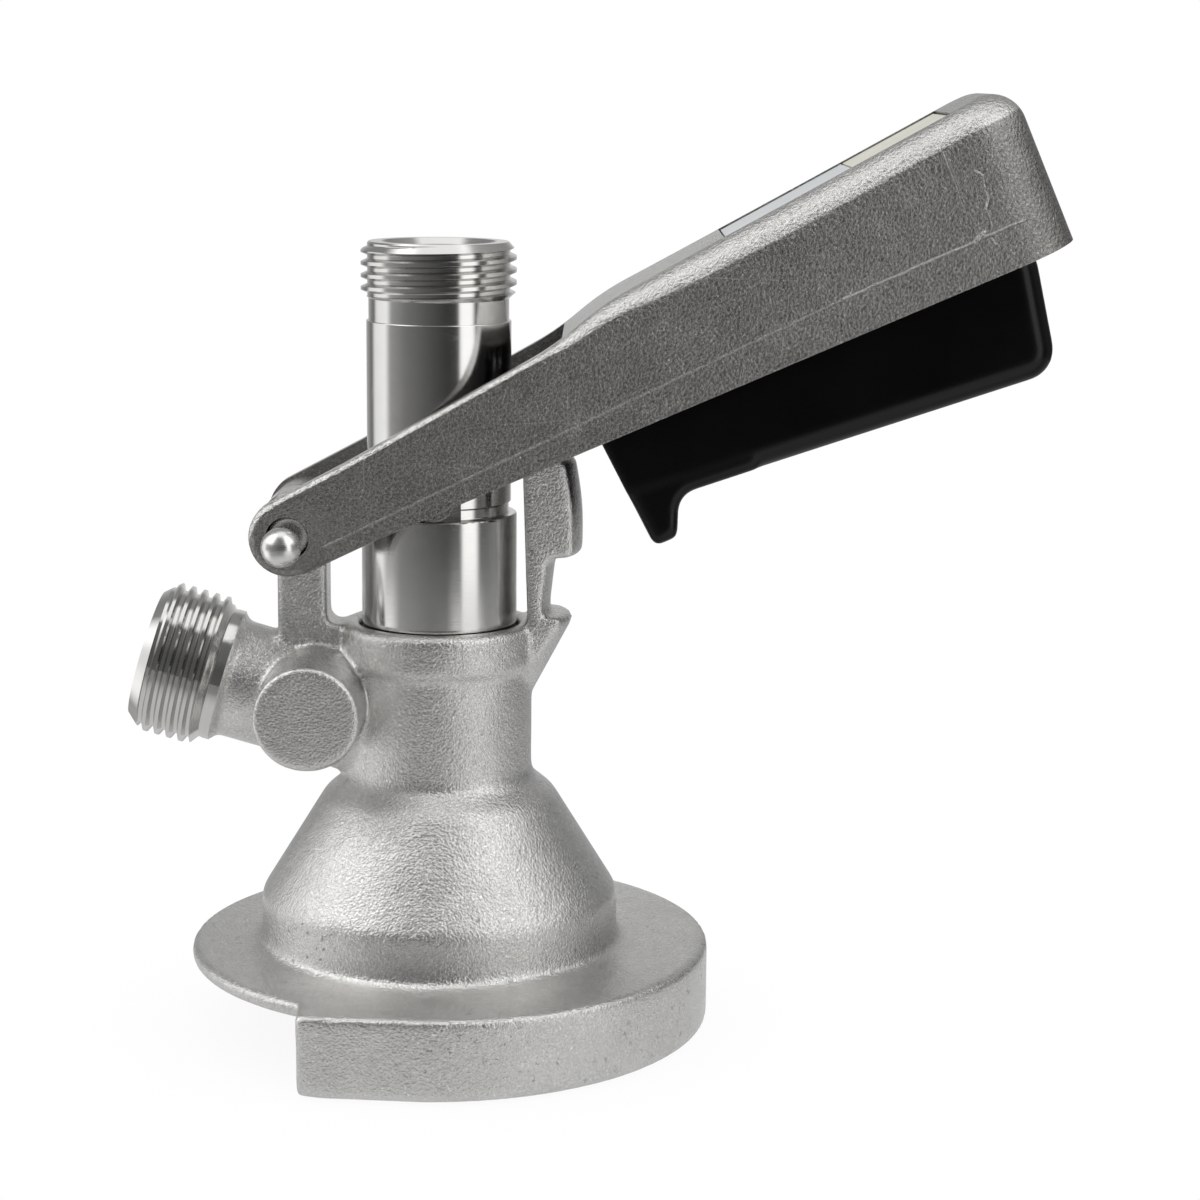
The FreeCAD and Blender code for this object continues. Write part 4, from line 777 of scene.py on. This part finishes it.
# Brightness of the cards by bearing in degrees, 0 towards the camera and 90 to its right: lower
# half of the screens, upper half and ceiling, and ground
LOW_BANDS = [
    (-180, 0.75), (-150, 0.4), (-128, 0.15), (-118, 1.05), (-90, 1.25), (-80, 0.4),
    (-50, 0.22), (-15, 0.12), (15, 0.05), (34, 0.05), (38, 1.5), (58, 1.5),
    (64, 0.06), (92, 0.25), (118, 0.08), (150, 0.4), (180, 0.75),
]
HIGH_BANDS = [
    (-180, 0.3), (-115, 0.3), (-94, 2.1), (-58, 2.1), (-40, 0.35), (-5, 0.14),
    (22, 0.18), (46, 1.9), (80, 1.9), (100, 0.45), (150, 0.3), (180, 0.3),
]
GROUND_BANDS = [
    (-180, 0.5), (-135, 0.35), (-112, 0.4), (-98, 1.3), (-72, 1.3), (-58, 0.4), (-10, 0.26),
    (14, 0.32), (26, 0.9), (62, 0.9), (76, 0.4), (110, 0.4), (150, 0.4), (180, 0.5),
]


def only_reflected(piece):
    """Studio card that shows in reflections alone."""
    piece.visible_camera = False
    piece.visible_diffuse = False
    piece.visible_shadow = False


def glow_material(name):
    """Material that glows, with its colour socket and its place."""
    material, tree, _ = new_material(name, 0.0, 1.0, (0, 0, 0))
    glow = node(tree, "ShaderNodeEmission")
    link(tree, glow.outputs[0], tree.nodes["Material Output"].inputs["Surface"])
    place = node(tree, "ShaderNodeTexCoord").outputs["Object"]
    return material, tree, glow.inputs["Color"], place


def bearing_bands(tree, place, bands):
    """Brightness that goes with the bearing of a place round Z."""
    split = node(tree, "ShaderNodeSeparateXYZ")
    link(tree, place, split.inputs[0])
    back = math_node(tree, "MULTIPLY", split.outputs["Y"], -1.0)
    bearing = math_node(tree, "ARCTAN2", split.outputs["X"], back)
    turn = math_node(tree, "MULTIPLY_ADD", bearing, 0.5 / math.pi, 0.5)
    return ramp(tree, turn, [((degrees + 180) / 360, shade) for degrees, shade in bands])


def make_screens():
    """Tall screens round the object, with bright and dark bands."""
    bpy.ops.object.select_all(action="DESELECT")
    bpy.ops.mesh.primitive_cylinder_add(vertices=96, radius=SCREEN_R, depth=SCREEN_HEIGHT,
                                        end_fill_type="NOTHING")
    screens = bpy.context.object
    screens.name = "studio_screens"
    screens.location = (0, 0, SCREEN_HEIGHT / 2 + SCREEN_LIFT)
    bpy.ops.object.transform_apply(location=True, rotation=True, scale=True)
    material, tree, colour, place = glow_material("screen_bands")
    split = node(tree, "ShaderNodeSeparateXYZ")
    link(tree, place, split.inputs[0])
    share = math_node(tree, "DIVIDE", split.outputs["Z"], SCREEN_HEIGHT)
    rise = ramp(tree, share, [(0.32, 0.0), (0.6, 1.0)])
    low = bearing_bands(tree, place, LOW_BANDS)
    high = bearing_bands(tree, place, HIGH_BANDS)
    link(tree, mix_colour(tree, rise, low, high), colour)
    screens.data.materials.append(material)
    only_reflected(screens)


def make_disc(name, height, middle, bands, fade):
    """Level card with one brightness in the middle that fades into bands further out."""
    bpy.ops.object.select_all(action="DESELECT")
    bpy.ops.mesh.primitive_circle_add(vertices=96, radius=SCREEN_R, fill_type="NGON",
                                      location=(0, 0, height))
    disc = bpy.context.object
    disc.name = "studio_" + name
    bpy.ops.object.transform_apply(location=True, rotation=True, scale=True)
    material, tree, colour, place = glow_material(name + "_shade")
    away = vector_value(tree, "LENGTH", vector_node(tree, "MULTIPLY", place, (1, 1, 0)))
    outside = ramp(tree, away, [(fade[0], 0.0), (fade[1], 1.0)])
    outer = bearing_bands(tree, place, bands)
    link(tree, mix_colour(tree, outside, (middle,) * 3, outer), colour)
    disc.data.materials.append(material)
    only_reflected(disc)


def make_lamp(name, place, size, power):
    """Rectangular lamp that looks at the object."""
    data = bpy.data.lights.new(name, "AREA")
    data.shape = "RECTANGLE"
    data.size, data.size_y = size
    data.energy = power
    lamp = bpy.data.objects.new(name, data)
    bpy.context.collection.objects.link(lamp)
    lamp.location = place
    way = Vector(LAMP_AIM) - Vector(place)
    lamp.rotation_euler = way.to_track_quat("-Z", "Y").to_euler()


def make_camera():
    """Camera that sees the object as the photo does."""
    data = bpy.data.cameras.new("photo_view")
    data.sensor_width = CAMERA_SENSOR_MM
    data.lens = CAMERA_LENS_MM
    data.clip_start = 0.01
    camera = bpy.data.objects.new("photo_view", data)
    bpy.context.collection.objects.link(camera)
    tip = Matrix.Rotation(CAMERA_TIP, 4, "X")
    roll = Matrix.Rotation(CAMERA_ROLL, 4, "Z")
    camera.matrix_world = Matrix.Translation(CAMERA_PLACE) @ tip @ roll
    bpy.context.scene.camera = camera


make_floor()
make_world()
make_screens()
make_disc("ground", GROUND_CARD_Z, middle=0.66, bands=GROUND_BANDS, fade=(0.08, 0.15))
make_disc("ceiling", SCREEN_HEIGHT, middle=1.2, bands=HIGH_BANDS, fade=(0.13, 0.2))
make_lamp("key_left", place=(-0.75, -0.35, 0.75), size=(0.5, 0.5), power=1.7)
make_lamp("key_right", place=(0.85, -0.3, 0.55), size=(0.4, 0.6), power=1.7)
make_lamp("top", place=(0.0, 0.1, 1.0), size=(0.7, 0.5), power=1.5)
make_camera()

bpy.context.scene.view_settings.view_transform = "Standard"
